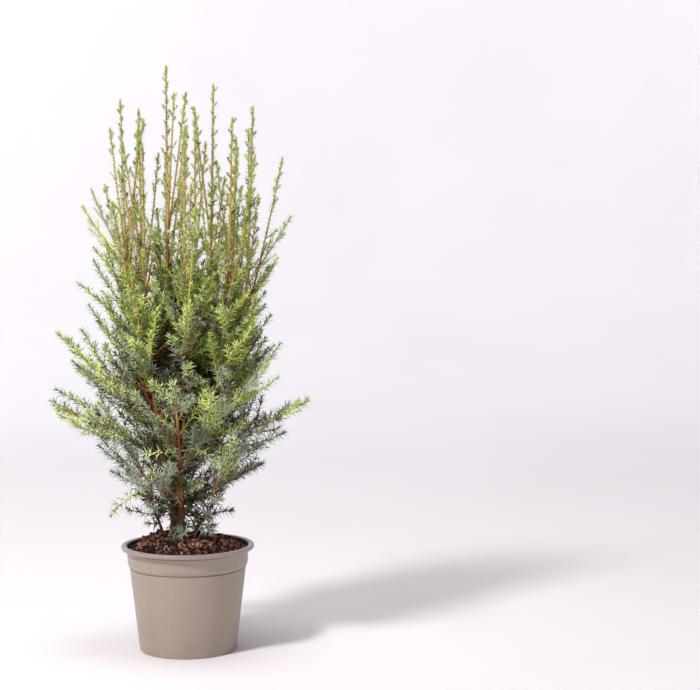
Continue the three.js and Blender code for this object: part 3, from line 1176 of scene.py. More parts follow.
def ring_mesh(name: str, rings: np.ndarray) -> Mesh:
    """Skins rings of points into a closed mesh whose first and last rings are capped to their middles.

    Args:
        name: The mesh's name.
        rings: The points, by ring and place round it, in metres, anticlockwise seen from the last ring.

    Returns:
        The mesh, with smooth faces.
    """
    count, sides, _ = rings.shape
    points = np.concatenate([rings.reshape(-1, 3), rings[:1].mean(1), rings[-1:].mean(1)])
    faces: list[tuple[int, ...]] = []
    for i in range(count - 1):
        for j in range(sides):
            k = (j + 1) % sides
            faces.append((i * sides + j, i * sides + k, (i + 1) * sides + k, (i + 1) * sides + j))
    foot, top = count * sides, count * sides + 1
    for j in range(sides):
        k = (j + 1) % sides
        faces.append((foot, k, j))
        faces.append((top, (count - 1) * sides + j, (count - 1) * sides + k))
    mesh = bpy.data.meshes.new(name)
    mesh.from_pydata(points.tolist(), [], faces)
    mesh.shade_smooth()
    return mesh


def seat(piece: Object, nodes: list[str]) -> None:
    """Puts a finished piece on the part's body, in place of its nodes, and reports it.

    Args:
        piece: The finished piece.
        nodes: The nodes that it stands for.
    """
    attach(piece, BODY)
    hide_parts(*nodes)
    LOG.info("%s: %d faces, for %s", piece.name, len(piece.data.polygons), ", ".join(nodes[:3]))


@cache
def mottle_group() -> NodeTree:
    """Builds the group that gives every finish its uneven tint and its fine relief.

    Returns:
        The group.
    """
    inputs = {
        "Coordinates": ("Vector", None), "Scale": ("Float", 80.0), "Low": ("Float", 0.35),
        "High": ("Float", 0.65), "Grain Scale": ("Float", 900.0),
    }
    graph = new_tree("mottle", "ShaderNodeTree", inputs, {"Mask": "Float", "Height": "Float"})
    given = graph.add("NodeGroupInput").outputs
    broad = {"Vector": given["Coordinates"], "Scale": given["Scale"], "Detail": 4.0, "Roughness": 0.6}
    mask = graph.ramp(graph.out("ShaderNodeTexNoise", broad), given["Low"], given["High"])
    fine = {"Vector": given["Coordinates"], "Scale": given["Grain Scale"], "Detail": 3.0}
    graph.add("NodeGroupOutput", {"Mask": mask, "Height": graph.out("ShaderNodeTexNoise", fine)})
    return graph.tree


class Surface(Graph):
    """The nodes of a material, with the patterns that finishes share."""

    def __init__(self, material: bpy.types.Material) -> None:
        """Clears a material's nodes and reads where each point of a piece is.

        Args:
            material: The material.
        """
        material.use_nodes = True
        material.node_tree.nodes.clear()
        super().__init__(material.node_tree)
        self.place = self.out("ShaderNodeTexCoord", output="Object")

    def mottle(self, place: NodeSocket | None = None, **values: float) -> Node:
        """Places the shared mottle group.

        Args:
            place: The coordinates that it reads, or none for the piece's own.
            **values: The group's inputs, with underscores for spaces.

        Returns:
            The group's node.
        """
        inputs = {label.replace("_", " ").title(): value for label, value in values.items()}
        inputs["Coordinates"] = self.place if place is None else place
        return self.add("ShaderNodeGroup", inputs, node_tree=mottle_group())

    def mix(self, mask: NodeSocket, first: Any, second: Any) -> NodeSocket:
        """Mixes two colours, or colour sockets, by a mask.

        Args:
            mask: How much of the second colour shows.
            first: The first colour.
            second: The second colour.

        Returns:
            The mixed colour.
        """
        first, second = (side if isinstance(side, NodeSocket) else (*side, 1.0) for side in (first, second))
        return self.out("ShaderNodeMix", {0: mask, 6: first, 7: second}, 2, data_type="RGBA")


class Finish:
    """The base of every finish."""

    name: str

    @cache
    def material(self) -> bpy.types.Material:
        """Makes the finish's material at the first call.

        Returns:
            The material, the same one at each call.
        """
        material = bpy.data.materials.new(self.name)
        graph = Surface(material)
        graph.add("ShaderNodeOutputMaterial", {"Surface": self.shader(graph).outputs[0]})
        return material

    def shader(self, graph: Surface) -> Node:
        """Builds the material's own nodes and returns the last."""
        raise NotImplementedError


@dataclass(frozen=True)
class LeafFinish(Finish):
    """Needles: one plain green, with a waxy gloss that comes and goes."""

    name: str
    colour: Colour
    roughness: Pair = (0.42, 0.68)

    def shader(self, graph: Surface) -> Node:
        """Varies the gloss in soft patches."""
        mottle = graph.mottle(scale=55.0, low=0.3, high=0.7)
        rough = graph.ramp(mottle.outputs["Mask"], 0.0, 1.0, *self.roughness)
        inputs = {"Base Color": (*self.colour, 1.0), "Roughness": rough, "Specular IOR Level": 0.4}
        return graph.add(PRINCIPLED, inputs)


@dataclass(frozen=True)
class WoodFinish(Finish):
    """Bark of stems, twigs and chips: three browns drawn out along the grain, with a raised grain."""

    name: str
    dark: Colour
    middle: Colour
    light: Colour
    scale: float = 160.0
    stretch: Triple = (1.0, 1.0, 0.22)
    relief: float = 0.5
    depth: float = 0.4
    roughness: float = 0.85

    def shader(self, graph: Surface) -> Node:
        """Draws the browns out along the grain and raises it."""
        drawn = graph.out("ShaderNodeMapping", {"Vector": graph.place, "Scale": self.stretch})
        broad = graph.mottle(drawn, scale=self.scale, low=0.32, high=0.6, grain_scale=self.scale * 5)
        flecks = graph.mottle(scale=self.scale * 2.2, low=0.52, high=0.72)
        colour = graph.mix(broad.outputs["Mask"], self.dark, self.middle)
        colour = graph.mix(flecks.outputs["Mask"], colour, self.light)
        height = graph.maths("ADD", broad.outputs["Mask"], broad.outputs["Height"])
        bump = {"Height": height, "Strength": self.relief, "Distance": self.depth * MM}
        normal = graph.out("ShaderNodeBump", bump)
        inputs = {"Base Color": colour, "Roughness": self.roughness, "Normal": normal}
        return graph.add(PRINCIPLED, {**inputs, "Specular IOR Level": 0.3})


@dataclass(frozen=True)
class PotFinish(Finish):
    """Moulded taupe plastic: a rim tinted cooler as a painted reflection, painted shade lines under the rim
    and in the step, an inner wall darkened partly by soil and partly by painted shade, stains near the foot,
    crumbs and a fine moulded grain.
    """

    name: str = "moulded_taupe"
    body: Colour = linear(167, 154, 139)
    body_shade: Colour = linear(160, 146, 130)
    # Painted reflection: the rim's cooler tint stands in for the pale light it reflects; it is the body's
    # plastic.
    rim: Colour = linear(160, 145, 145)
    # Painted shade: the dark brown of the lines under the rim's lip and in the step's groove.
    line: Colour = linear(98, 70, 52)
    # Partly soil stain and partly painted shade: the dark of the inner wall below the rim.
    inside: Colour = linear(36, 27, 23)
    stain: Colour = linear(112, 88, 72)
    crumb: Colour = linear(74, 56, 45)
    # Heights over which the rim's painted reflection fades in.
    rim_span: Pair = (129.4, 130.9)
    # Painted shade lines: the lowest, darkest and highest height of each, and how dark it gets.
    lines: tuple[tuple[float, float, float, float], ...] = (
        (126.2, 128.0, 129.2, 0.85), (105.2, 106.0, 107.2, 0.75),
    )
    inner_wall: tuple[float, float, float, float] = (126.2, 129.0, 76.8, 78.2)
    soil_and_shade_ends: tuple[Pair, ...] = ((124.0, 125.0), (135.0, 133.2))
    stain_height: float = 50.0
    stain_share: float = 0.22
    roughness: Pair = (0.3, 0.45)

    def shader(self, graph: Surface) -> Node:
        """Lays the body's tints, the rim's painted reflection, the painted shade lines, the inner wall's soil
        and painted shade, crumbs and stains over each other.
        """
        clouds = graph.mottle(scale=30.0, low=0.2, high=0.8, grain_scale=2600.0)
        height = graph.out("ShaderNodeSeparateXYZ", {0: graph.place}, "Z")
        colour = graph.mix(clouds.outputs["Mask"], self.body, self.body_shade)
        # Painted reflection: above these heights the rim takes the cooler tint.
        rim = graph.ramp(height, self.rim_span[0] * MM, self.rim_span[1] * MM)
        colour = graph.mix(rim, colour, self.rim)
        # Painted shade under the rim's lip and in the step's groove.
        for low, middle, high, share in self.lines:
            up = graph.ramp(height, low * MM, middle * MM)
            down = graph.ramp(height, high * MM, middle * MM, 0.0, share)
            colour = graph.mix(graph.maths("MULTIPLY", up, down), colour, self.line)
        # Soil stain and painted shade darken the inner wall, which the same mask also makes matte.
        soil_and_shade = self._soil_and_shade(graph, height)
        colour = graph.mix(soil_and_shade, colour, self.inside)
        crumbs = graph.mottle(scale=330.0, low=0.685, high=0.70)
        colour = graph.mix(crumbs.outputs["Mask"], colour, self.crumb)
        colour = graph.mix(self._stained(graph, height), colour, self.stain)
        bump = {"Height": clouds.outputs["Height"], "Strength": 0.12, "Distance": 0.1 * MM}
        normal = graph.out("ShaderNodeBump", bump)
        satin = graph.ramp(clouds.outputs["Mask"], 0.0, 1.0, *self.roughness)
        rough = graph.maths("MAXIMUM", satin, soil_and_shade)
        return graph.add(PRINCIPLED, {"Base Color": colour, "Roughness": rough, "Normal": normal})

    def _soil_and_shade(self, graph: Surface, height: NodeSocket) -> NodeSocket:
        """Masks the inner side of the wall below the rim's top, darkened partly by soil and partly as painted
        shade.

        Args:
            graph: The material's nodes.
            height: The height above the ground.

        Returns:
            The mask.
        """
        flat = graph.out("ShaderNodeVectorMath", {0: graph.place, 1: (1.0, 1.0, 0.0)}, operation="MULTIPLY")
        radius = graph.out("ShaderNodeVectorMath", {0: flat}, "Value", operation="LENGTH")
        wall = graph.ramp(height, *(size * MM for size in self.inner_wall))
        soil_and_shade = graph.maths("LESS_THAN", radius, wall)
        for none, full in self.soil_and_shade_ends:
            soil_and_shade = graph.maths("MULTIPLY", soil_and_shade, graph.ramp(height, none * MM, full * MM))
        return soil_and_shade

    def _stained(self, graph: Surface, height: NodeSocket) -> NodeSocket:
        """Masks the streaks that water leaves near the foot.

        Args:
            graph: The material's nodes.
            height: The height above the ground.

        Returns:
            The mask.
        """
        flow = graph.out("ShaderNodeMapping", {"Vector": graph.place, "Scale": (1.0, 1.0, 0.15)})
        streaks = graph.mottle(flow, scale=60.0, low=0.56, high=0.85)
        near_foot = graph.ramp(height, self.stain_height * MM, 0.0, 0.0, self.stain_share)
        return graph.maths("MULTIPLY", streaks.outputs["Mask"], near_foot)


@dataclass(frozen=True)
class StageFinish(Finish):
    """The plain pale floor."""

    name: str = "pale_floor"
    colour: Colour = linear(252, 247, 251)
    shade: Colour = linear(249, 243, 247)

    def shader(self, graph: Surface) -> Node:
        """Mixes two near whites."""
        mottle = graph.mottle(scale=1.5)
        colour = graph.mix(mottle.outputs["Mask"], self.colour, self.shade)
        return graph.add(PRINCIPLED, {"Base Color": colour, "Roughness": 0.9})


# The stems' browns are partly the bark's own and partly painted shade from the crown above.
BARK = WoodFinish("stem_bark", linear(48, 28, 21), linear(106, 64, 47), linear(166, 120, 96), scale=230.0)
FRONT_BROWNS = (linear(104, 54, 34), linear(164, 94, 58), linear(204, 144, 106))
FRONT_BARK = WoodFinish("front_bark", *FRONT_BROWNS, scale=230.0)
TWIG_BROWNS = {
    Wood.RUSSET: (linear(130, 72, 44), linear(186, 114, 70), linear(216, 158, 112)),
    Wood.AMBER: (linear(180, 128, 78), linear(214, 168, 110), linear(238, 204, 152)),
    Wood.GREEN: (linear(192, 188, 70), linear(218, 210, 94), linear(234, 224, 130)),
}
TWIG_BARK = {wood: WoodFinish(f"{wood.value}_bark", *row, 420.0) for wood, row in TWIG_BROWNS.items()}
NEEDLE_GREENS = {
    # The inner sprays' dark greens: partly older needles' own colour, partly painted shade.
    Tone.SHADE: (linear(44, 50, 23), linear(74, 83, 44)),
    Tone.BLUE: (linear(38, 52, 34), linear(170, 190, 162)),
    Tone.DEEP: (linear(63, 100, 34), linear(220, 240, 166)),
    Tone.FRESH: (linear(120, 160, 44), linear(228, 244, 150)),
    Tone.LIME: (linear(196, 208, 92), linear(236, 244, 164)),
    Tone.OLIVE: (linear(172, 186, 134), linear(234, 240, 206)),
}
# The substrate's browns are partly its own and partly painted shade in the gaps between chips.
SOIL_BROWNS = (linear(16, 11, 9), linear(36, 25, 20), linear(70, 49, 39))
SOIL = WoodFinish("substrate", *SOIL_BROWNS, 260.0, (1.0, 1.0, 1.0))


@dataclass
class Camera:
    """The camera at the photograph's viewing angle, for a picture of 700 by 690."""

    place: Triple = (0.2075, -2.050, 0.506)
    focal: float = 83.06
    pitch: float = 3.25
    sensor: float = 36.0

    def build(self) -> None:
        """Makes the scene's camera."""
        data = bpy.data.cameras.new("view")
        data.sensor_width = self.sensor
        data.lens = self.focal
        camera = placed("view", data)
        camera.location = self.place
        camera.rotation_euler = (math.radians(90 - self.pitch), 0, 0)
        bpy.context.scene.camera = camera


@dataclass(frozen=True)
class SoftLight:
    """A square soft light: where it hangs and what it faces, in metres, its size, power and colour."""

    name: str
    place: Triple
    target: Triple
    size: float
    power: float
    colour: Colour = (1.0, 1.0, 1.0)

    def build(self) -> None:
        """Hangs the light."""
        data = bpy.data.lights.new(self.name, "AREA")
        data.size = self.size
        data.energy = self.power
        data.color = self.colour
        light = placed(self.name, data)
        light.location = self.place
        facing = Vector(self.target) - Vector(self.place)
        light.rotation_euler = facing.to_track_quat("-Z", "Y").to_euler()
        light.visible_camera = False


@dataclass
class Studio:
    """A pale floor that sweeps up into the backdrop all round, a white sky and large soft lights."""

    flat_radii: tuple[float, ...] = (0.02, 0.6, 1.5)
    flat_radius: float = 3.0
    sweep_radius: float = 1.6
    wall_top: float = 3.4
    segments: int = 96
    sky: float = 0.1
    lights: tuple[SoftLight, ...] = (
        SoftLight("key", (-1.5, -1.75, 2.5), (0.0, 0.0, 0.35), 0.5, 82.0, (1.0, 0.99, 0.985)),
        SoftLight("top", (0.0, -0.1, 3.0), (0.0, 0.0, 0.35), 0.9, 27.0),
        SoftLight("left_wall", (-1.9, 2.6, 3.0), (-1.4, 5.0, 0.9), 1.4, 40.0, (0.915, 1.0, 0.96)),
        SoftLight("right_wall", (1.9, 2.6, 3.0), (1.4, 5.0, 0.9), 1.4, 22.5, (0.9, 0.95, 1.0)),
    )

    def build(self) -> None:
        """Makes the floor, the sky and the lights."""
        mesh = mesh_of("floor", self._sweep())
        mesh.shade_smooth()
        mesh.materials.append(StageFinish().material())
        floor = placed("floor", mesh)
        self._sky()
        for light in self.lights:
            light.build()

    def _sweep(self) -> bmesh.types.BMesh:
        """Turns the floor's profile round the axis, in metres.

        Returns:
            The floor, ready to become a mesh.
        """
        flat, bend = self.flat_radius, self.sweep_radius
        turn = np.linspace(0, math.pi / 2, 14)
        sweep = [(flat + bend * math.sin(a), bend * (1 - math.cos(a))) for a in turn]
        level = [(radius, 0.0) for radius in self.flat_radii]
        bm = bmesh.new()
        rows = []
        for reach, rise in (*level, *sweep, (flat + bend, self.wall_top)):
            rows.append([bm.verts.new(point) for point in level_ring(reach, rise, self.segments)])
        bm.faces.new(rows[0])
        for inner, outer in zip(rows, rows[1:]):
            for i in range(self.segments):
                j = (i + 1) % self.segments
                bm.faces.new((inner[i], outer[i], outer[j], inner[j]))
        return bm

    def _sky(self) -> None:
        """Sets a plain white world."""
        world = bpy.data.worlds.new("sky")
        world.use_nodes = True
        inputs = world.node_tree.nodes["Background"].inputs
        inputs["Color"].default_value = (1.0, 1.0, 1.0, 1.0)
        inputs["Strength"].default_value = self.sky
        bpy.context.scene.world = world


@dataclass
class NurseryPot:
    """The round pot: tapered wall, collar over a small step, rolled rim, drained floor."""

    height: float = 135.0
    rim_radius: float = 85.0
    base_radius: float = 61.0
    wall: float = 1.8
    floor: float = 3.0
    step: float = 109.0
    drain_holes: int = 6
    drain_radius: float = 4.5
    drain_circle: float = 42.0
    segments: int = 144

    def build(self) -> None:
        """Turns the wall, drills the floor and dresses the pot."""
        rings = [level_ring(radius, height, self.segments) for radius, height in self._rounded()]
        piece = placed("nursery_pot", ring_mesh("nursery_pot", np.array(rings) * MM))
        drill = self._drill()
        cut = piece.modifiers.new("drain_holes", "BOOLEAN")
        cut.object = drill
        applied(piece)
        bpy.data.objects.remove(drill)
        piece.data.shade_smooth()
        piece.data.set_sharp_from_angle(angle=math.radians(40))
        piece.data.materials.clear()
        piece.data.materials.append(PotFinish().material())
        seat(piece, ["pot"])

    def _wall_at(self, height: float) -> float:
        """Returns the radius of the wall under its step."""
        return float(np.interp(height, (0, self.step), (self.base_radius + 1.2, 74.4)))

    def _corners(self) -> list[Triple]:
        """Returns the profile's corners, each as radius, height and rounding."""
        rim, top, step = self.rim_radius, self.height, self.step
        return [
            (self.base_radius + 0.6, 0.0, 1.6), (self._wall_at(step - 3.6), step - 3.6, 0.5),
            (self._wall_at(step - 3.6) - 0.9, step - 3.0, 0.3), (74.6, step - 1.6, 0.5),
            (76.2, step + 1.4, 1.6), (77.2, top - 9.0, 1.5), (78.6, top - 6.6, 0.8), (78.7, top - 5.6, 0.3),
            (rim - 0.7, top - 5.5, 1.8), (rim, top, 3.4), (78.0, top, 2.8), (76.2, top - 3.8, 1.6),
            (74.2 - self.wall, step - 1.6, 1.5), (self.base_radius + 1.2 - self.wall, self.floor, 2.0),
        ]

    def _rounded(self, steps: int = 6) -> list[Pair]:
        """Returns the profile with an arc at each corner, from under the floor to above it.

        Args:
            steps: How many points each arc has.

        Returns:
            The radius and height of each point.
        """
        corners = self._corners()
        line = [(0.0, 0.0, 0.0), *corners, (0.0, self.floor, 0.0)]
        profile = [(30.0, 0.0)]
        for before, corner, after in zip(line, line[1:], line[2:]):
            here = np.array(corner[:2])
            towards = [np.array(end[:2]) - here for end in (before, after)]
            reach = [min(corner[2], 0.48 * np.linalg.norm(way)) for way in towards]
            first, last = (here + unit(way) * r for way, r in zip(towards, reach))
            for t in np.linspace(0, 1, steps):
                point = (1 - t) ** 2 * first + 2 * t * (1 - t) * here + t**2 * last
                profile.append((float(point[0]), float(point[1])))
        return [*profile, (30.0, self.floor)]

    def _drill(self) -> Object:
        """Makes the pins that cut the drain holes.

        Returns:
            The pins, as one piece.
        """
        bm = bmesh.new()
        radius = self.drain_radius * MM
        for turn in circle_angles(self.drain_holes):
            centre = Vector((math.cos(turn), math.sin(turn), 0)) * self.drain_circle * MM
            bmesh.ops.create_cone(
                bm, cap_ends=True, segments=32, radius1=radius, radius2=radius,
                depth=4 * self.floor * MM, matrix=Matrix.Translation(centre),
            )
        return placed("drill", mesh_of("drill", bm))


def chip_tree() -> NodeTree:
    """Builds the geometry tree that scatters bark chips over a surface.

    Returns:
        The tree.
    """
    inputs = {
        "Geometry": ("Geometry", None), "Shapes": ("Collection", None), "Spacing": ("Float", 0.005),
        "Smallest": ("Float", 0.003), "Largest": ("Float", 0.006), "Tilt": ("Float", 1.0),
        "Cover": ("Float", 0.5), "Seed": ("Int", 1), "Finish": ("Material", None),
    }
    graph = new_tree("bark_chips", "GeometryNodeTree", inputs, {"Geometry": "Geometry"})
    given = graph.add("NodeGroupInput").outputs
    broad = {"Scale": 42.0, "Detail": 2.0, "W": 3.0}
    patches = graph.out("ShaderNodeTexNoise", broad, noise_dimensions="4D")
    share = graph.ramp(patches, given["Cover"], graph.maths("SUBTRACT", given["Cover"], 0.12))
    scatter = {
        "Mesh": given["Geometry"], "Distance Min": given["Spacing"], "Density Max": 90000.0,
        "Density Factor": share, "Seed": given["Seed"],
    }
    spread = graph.add("GeometryNodeDistributePointsOnFaces", scatter, distribute_method="POISSON")
    shapes = {"Collection": given["Shapes"], "Separate Children": True, "Reset Children": True}
    chips = graph.out("GeometryNodeCollectionInfo", shapes)
    seed = {8: given["Seed"]}
    which = graph.out("FunctionNodeRandomValue", {4: 0, 5: 63, **seed}, 2, data_type="INT")
    size = graph.out("FunctionNodeRandomValue", {2: given["Smallest"], 3: given["Largest"], **seed}, 1)
    lean = graph.out("ShaderNodeCombineXYZ", {0: given["Tilt"], 1: given["Tilt"], 2: math.pi})
    against = graph.out("ShaderNodeVectorMath", {0: lean, 3: -1.0}, operation="SCALE")
    turn = graph.out("FunctionNodeRandomValue", {0: against, 1: lean, **seed}, data_type="FLOAT_VECTOR")
    spin = graph.out("FunctionNodeEulerToRotation", {0: turn})
    both = {0: spread.outputs["Rotation"], 1: spin}
    turned = graph.out("FunctionNodeRotateRotation", both, rotation_space="LOCAL")
    picked = {"Instance": chips, "Pick Instance": True, "Instance Index": which}
    lay = {"Points": spread.outputs["Points"], **picked, "Rotation": turned, "Scale": size}
    laid = graph.out("GeometryNodeInstanceOnPoints", lay)
    return graph.end(laid, {"Material": given["Finish"]})


def needle_tree() -> NodeTree:
    """Builds the geometry tree that stands a needle on each point, along its aim.

    Returns:
        The tree.
    """
    inputs = {
        "Geometry": ("Geometry", None), "Needle": ("Object", None),
        "Back": ("Material", None), "Band": ("Material", None),
    }
    graph = new_tree("needle_spray", "GeometryNodeTree", inputs, {"Geometry": "Geometry"})
    given = graph.add("NodeGroupInput").outputs
    needle = graph.out("GeometryNodeObjectInfo", {"Object": given["Needle"]}, "Geometry")

    def named(label: str, kind: str = "FLOAT_VECTOR") -> NodeSocket:
        """Returns an attribute's output socket."""
        return graph.out("GeometryNodeInputNamedAttribute", {"Name": label}, data_type=kind)

    axes = {0: named("aim"), 1: named("facing")}
    turned = graph.out("FunctionNodeAxesToRotation", axes, primary_axis="Z", secondary_axis="Y")
    stand = {"Points": given["Geometry"], "Instance": needle, "Rotation": turned, "Scale": named("size")}
    stood = graph.out("GeometryNodeInstanceOnPoints", stand)
    upper = {"Selection": named("upper", "BOOLEAN"), "Material": given["Band"]}
    return graph.end(stood, {"Material": given["Back"]}, upper)


def twig_tree() -> NodeTree:
    """Builds the geometry tree that gives lines of points their thickness as twigs.

    Returns:
        The tree.
    """
    inputs = {"Geometry": ("Geometry", None), "Sides": ("Int", 4), "Bark": ("Material", None)}
    graph = new_tree("twig_tubes", "GeometryNodeTree", inputs, {"Geometry": "Geometry"})
    given = graph.add("NodeGroupInput").outputs
    lines = graph.out("GeometryNodeMeshToCurve", {0: given["Geometry"]})
    circle = graph.out("GeometryNodeCurvePrimitiveCircle", {"Resolution": given["Sides"], "Radius": 1.0})
    thick = graph.out("GeometryNodeInputNamedAttribute", {"Name": "thickness"}, data_type="FLOAT")
    sweep = {"Curve": lines, "Profile Curve": circle, "Scale": thick, "Fill Caps": True}
    smooth = graph.out("GeometryNodeSetShadeSmooth", {0: graph.out("GeometryNodeCurveToMesh", sweep)})
    return graph.end(smooth, {"Material": given["Bark"]})


@dataclass
class Needles:
    """Makes needles of one shape, one long, wide and thick, with a pale band inside and a keel outside."""

    widest: float = 0.14

    def __post_init__(self) -> None:
        """Makes the shape and the tree that repeats it."""
        low = self.widest
        points = [(-0.5, 0.1, low), (0.5, 0.1, low), (0, -0.5, 0), (0, 0, 1)]
        mesh = bpy.data.meshes.new("needle")
        mesh.from_pydata(points, [], [(3, 0, 1), (0, 2, 1), (3, 2, 0), (3, 1, 2)])
        upper = mesh.attributes.new("upper", "BOOLEAN", "FACE")
        upper.data.foreach_set("value", [True, False, False, False])
        self.shape = placed("needle", mesh)
        self.tree = needle_tree()

    def stand(self, name: str, rows: np.ndarray, back: Finish, band: Finish) -> Object:
        """Stands a needle on each row.

        Args:
            name: The name of the finished piece.
            rows: The place, aim, facing and size of each needle, three numbers each, in millimetres.
            back: The finish of its keel.
            band: The finish of its flat inner side.

        Returns:
            The finished piece.
        """
        ways = {"aim": rows[:, 3:6], "facing": rows[:, 6:9], "size": rows[:, 9:] * MM}
        points = point_mesh("points", rows[:, :3] * MM, **ways)
        values = {"Needle": self.shape, "Back": back.material(), "Band": band.material()}
        return realised(name, points, self.tree, values)

    def clear(self) -> None:
        """Takes the single shape out of the scene."""
        bpy.data.objects.remove(self.shape)


@dataclass(frozen=True)
class ChipLayer:
    """A scatter of bark chips of one brown, their sizes in millimetres.

    Args:
        label: The brown's name.
        spacing: The least distance between chips.
        sizes: Half the length of the smallest and the largest chip.
        cover: How much of the surface it lies on, from 0 to 1.
        seed: The seed of its scatter.
        browns: Its darkest, middle and lightest brown.
    """

    label: str
    spacing: float
    sizes: Pair
    cover: float
    seed: int
    browns: tuple[Colour, Colour, Colour]


# The dark chips are partly dark bark and partly painted shade in the gaps between the paler chips.
DARK_CHIPS = (linear(14, 9, 7), linear(30, 20, 16), linear(62, 42, 34))
RED_CHIPS = (linear(62, 34, 25), linear(120, 70, 51), linear(184, 126, 102))
ROSY_CHIPS = (linear(132, 90, 78), linear(200, 152, 138), linear(238, 206, 194))
ORANGE_CHIPS = (linear(140, 78, 48), linear(192, 118, 78), linear(222, 164, 124))
CHIP_LAYERS = (
    ChipLayer("dark", 4.2, (2.6, 6.4), 2.0, 11, DARK_CHIPS),
    ChipLayer("red", 5.0, (3.0, 8.2), 0.63, 23, RED_CHIPS),
    ChipLayer("rosy", 6.4, (2.6, 7.0), 0.58, 31, ROSY_CHIPS),
    ChipLayer("orange", 11.0, (2.4, 6.4), 0.62, 37, ORANGE_CHIPS),
)


@dataclass
class Mulch:
    """The pot's filling: a mound of dark substrate, bark chips of four browns and a few dry needles."""

    floor: float = 3.3
    floor_radius: float = 59.9
    edge_radius: float = 73.3
    edge_height: float = 127.0
    knee: Pair = (71.8, 106.0)
    crown: float = 142.0
    heap_place: Pair = (-44.0, 22.0)
    heap_height: float = 6.5
    heap_width: float = 17.0
    slope_radii: Pair = (40.0, 60.0)
    slope_height: float = 133.5
    lump_size: float = 11.0
    lump_height: float = 2.2
    crumb_size: float = 3.5
    crumb_height: float = 0.9
    smooth_edge: float = 6.0
    sides: int = 96
    rings: int = 40
    shape_count: int = 7
    shape_corners: int = 14
    litter_count: int = 150
    litter_radius: float = 68.0

    def height_at(self, x: float, y: float) -> float:
        """Returns the height of the substrate at a place.

        Args:
            x: The place from left to right.
            y: The place from front to back.

        Returns:
            The height above the ground.
        """
        radius = math.hypot(x, y)
        radii = (0, *self.slope_radii, self.edge_radius)
        base = float(np.interp(radius, radii, (self.crown, self.crown, self.slope_height, self.edge_height)))
        away = math.hypot(x - self.heap_place[0], y - self.heap_place[1])
        heap = self.heap_height * math.exp(-((away / self.heap_width) ** 2))
        lumps = self.lump_height * noise.noise(Vector((x / self.lump_size, y / self.lump_size, 0.5)))
        crumbs = self.crumb_height * noise.noise(Vector((x / self.crumb_size, y / self.crumb_size, 4)))
        inside = min(1.0, (self.edge_radius - radius) / self.smooth_edge)
        return base + (heap + lumps + crumbs) * max(inside, 0.0)

    def build(self, needles: Needles) -> None:
        """Makes the substrate, the chips and the dry needles.

        Args:
            needles: The maker of needles.
        """
        top = self._rings(np.linspace(0.5, self.edge_radius, self.rings))
        knee = level_ring(*self.knee, self.sides)
        foot = level_ring(self.floor_radius, self.floor, self.sides)
        soil = placed("substrate", ring_mesh("substrate", np.array([foot, knee, *top[::-1]]) * MM))
        soil.data.materials.append(SOIL.material())
        seat(soil, ["mulch"])
        self._scatter(top[:-1])
        self._litter(needles)

    def _rings(self, radii: np.ndarray) -> np.ndarray:
        """Returns rings of points that lie on the mound.

        Args:
            radii: The radius of each ring.

        Returns:
            The rings.
        """
        rings = np.array([level_ring(radius, 0, self.sides) for radius in radii])
        for point in rings.reshape(-1, 3):
            point[2] = self.height_at(point[0], point[1])
        return rings

    def _scatter(self, top: np.ndarray) -> None:
        """Scatters chips of each brown over the mound.

        Args:
            top: The mound's rings, from its middle outwards.
        """
        shapes = bpy.data.collections.new("chip_shapes")
        bpy.context.scene.collection.children.link(shapes)
        for i in range(self.shape_count):
            shapes.objects.link(self._chip(i))
        tree = chip_tree()
        for layer in CHIP_LAYERS:
            name = f"{layer.label}_chips"
            finish = WoodFinish(name, *layer.browns, 300.0, (1.0, 0.4, 1.0), 0.6, 0.3)
            smallest, largest = layer.sizes
            values = {
                "Shapes": shapes, "Spacing": layer.spacing * MM, "Smallest": smallest * MM,
                "Largest": largest * MM, "Cover": layer.cover, "Seed": layer.seed,
                "Finish": finish.material(),
            }
            seat(realised(name, ring_mesh("ground", top[::-1] * MM), tree, values), ["mulch"])
        for shape in list(shapes.objects):
            bpy.data.objects.remove(shape)
        bpy.data.collections.remove(shapes)

    def _chip(self, number: int) -> Object:
        """Makes one broken chip, about two long, as the hull of a few drawn points.

        Args:
            number: Its number, which seeds its draws.

        Returns:
            The chip.
        """
        draws = Draws(7001 + 311 * number)
        bm = bmesh.new()
        wide, thick = draws.between(0.32, 0.72), draws.between(0.12, 0.28)
        for i in range(self.shape_corners):
            turn = 2 * math.pi * (i + draws.between(-0.35, 0.35)) / self.shape_corners
            reach = draws.between(0.72, 1.05)
            up = (1 if i % 2 else -1) * thick * draws.between(0.5, 1)
            bm.verts.new((reach * math.cos(turn), reach * math.sin(turn) * wide, up))
        hull = bmesh.ops.convex_hull(bm, input=bm.verts)
        bmesh.ops.delete(bm, geom=hull["geom_interior"], context="VERTS")
        return bpy.data.objects.new(f"chip_{number}", mesh_of("chip", bm))

    def _litter(self, needles: Needles) -> None:
        """Lays dry needles on the chips.

        Args:
            needles: The maker of needles.
        """
        draws = Draws(5150)
        rows = []
        for _ in range(self.litter_count):
            turn, radius = draws.between(0, 2 * math.pi), self.litter_radius * math.sqrt(draws.next())
            x, y = radius * math.cos(turn), radius * math.sin(turn)
            place = (x, y, self.height_at(x, y) + draws.between(1.6, 3.4))
            way = draws.between(0, 2 * math.pi)
            aim = (math.cos(way), math.sin(way), draws.between(-0.2, 0.25))
            rows.append((*place, *aim, *UP, 1.1, 0.7, draws.between(6, 11)))
        dry = LeafFinish("dry_needle", linear(156, 134, 88), (0.6, 0.8))
        seat(needles.stand("dry_needles", np.array(rows), dry, dry), ["mulch"])


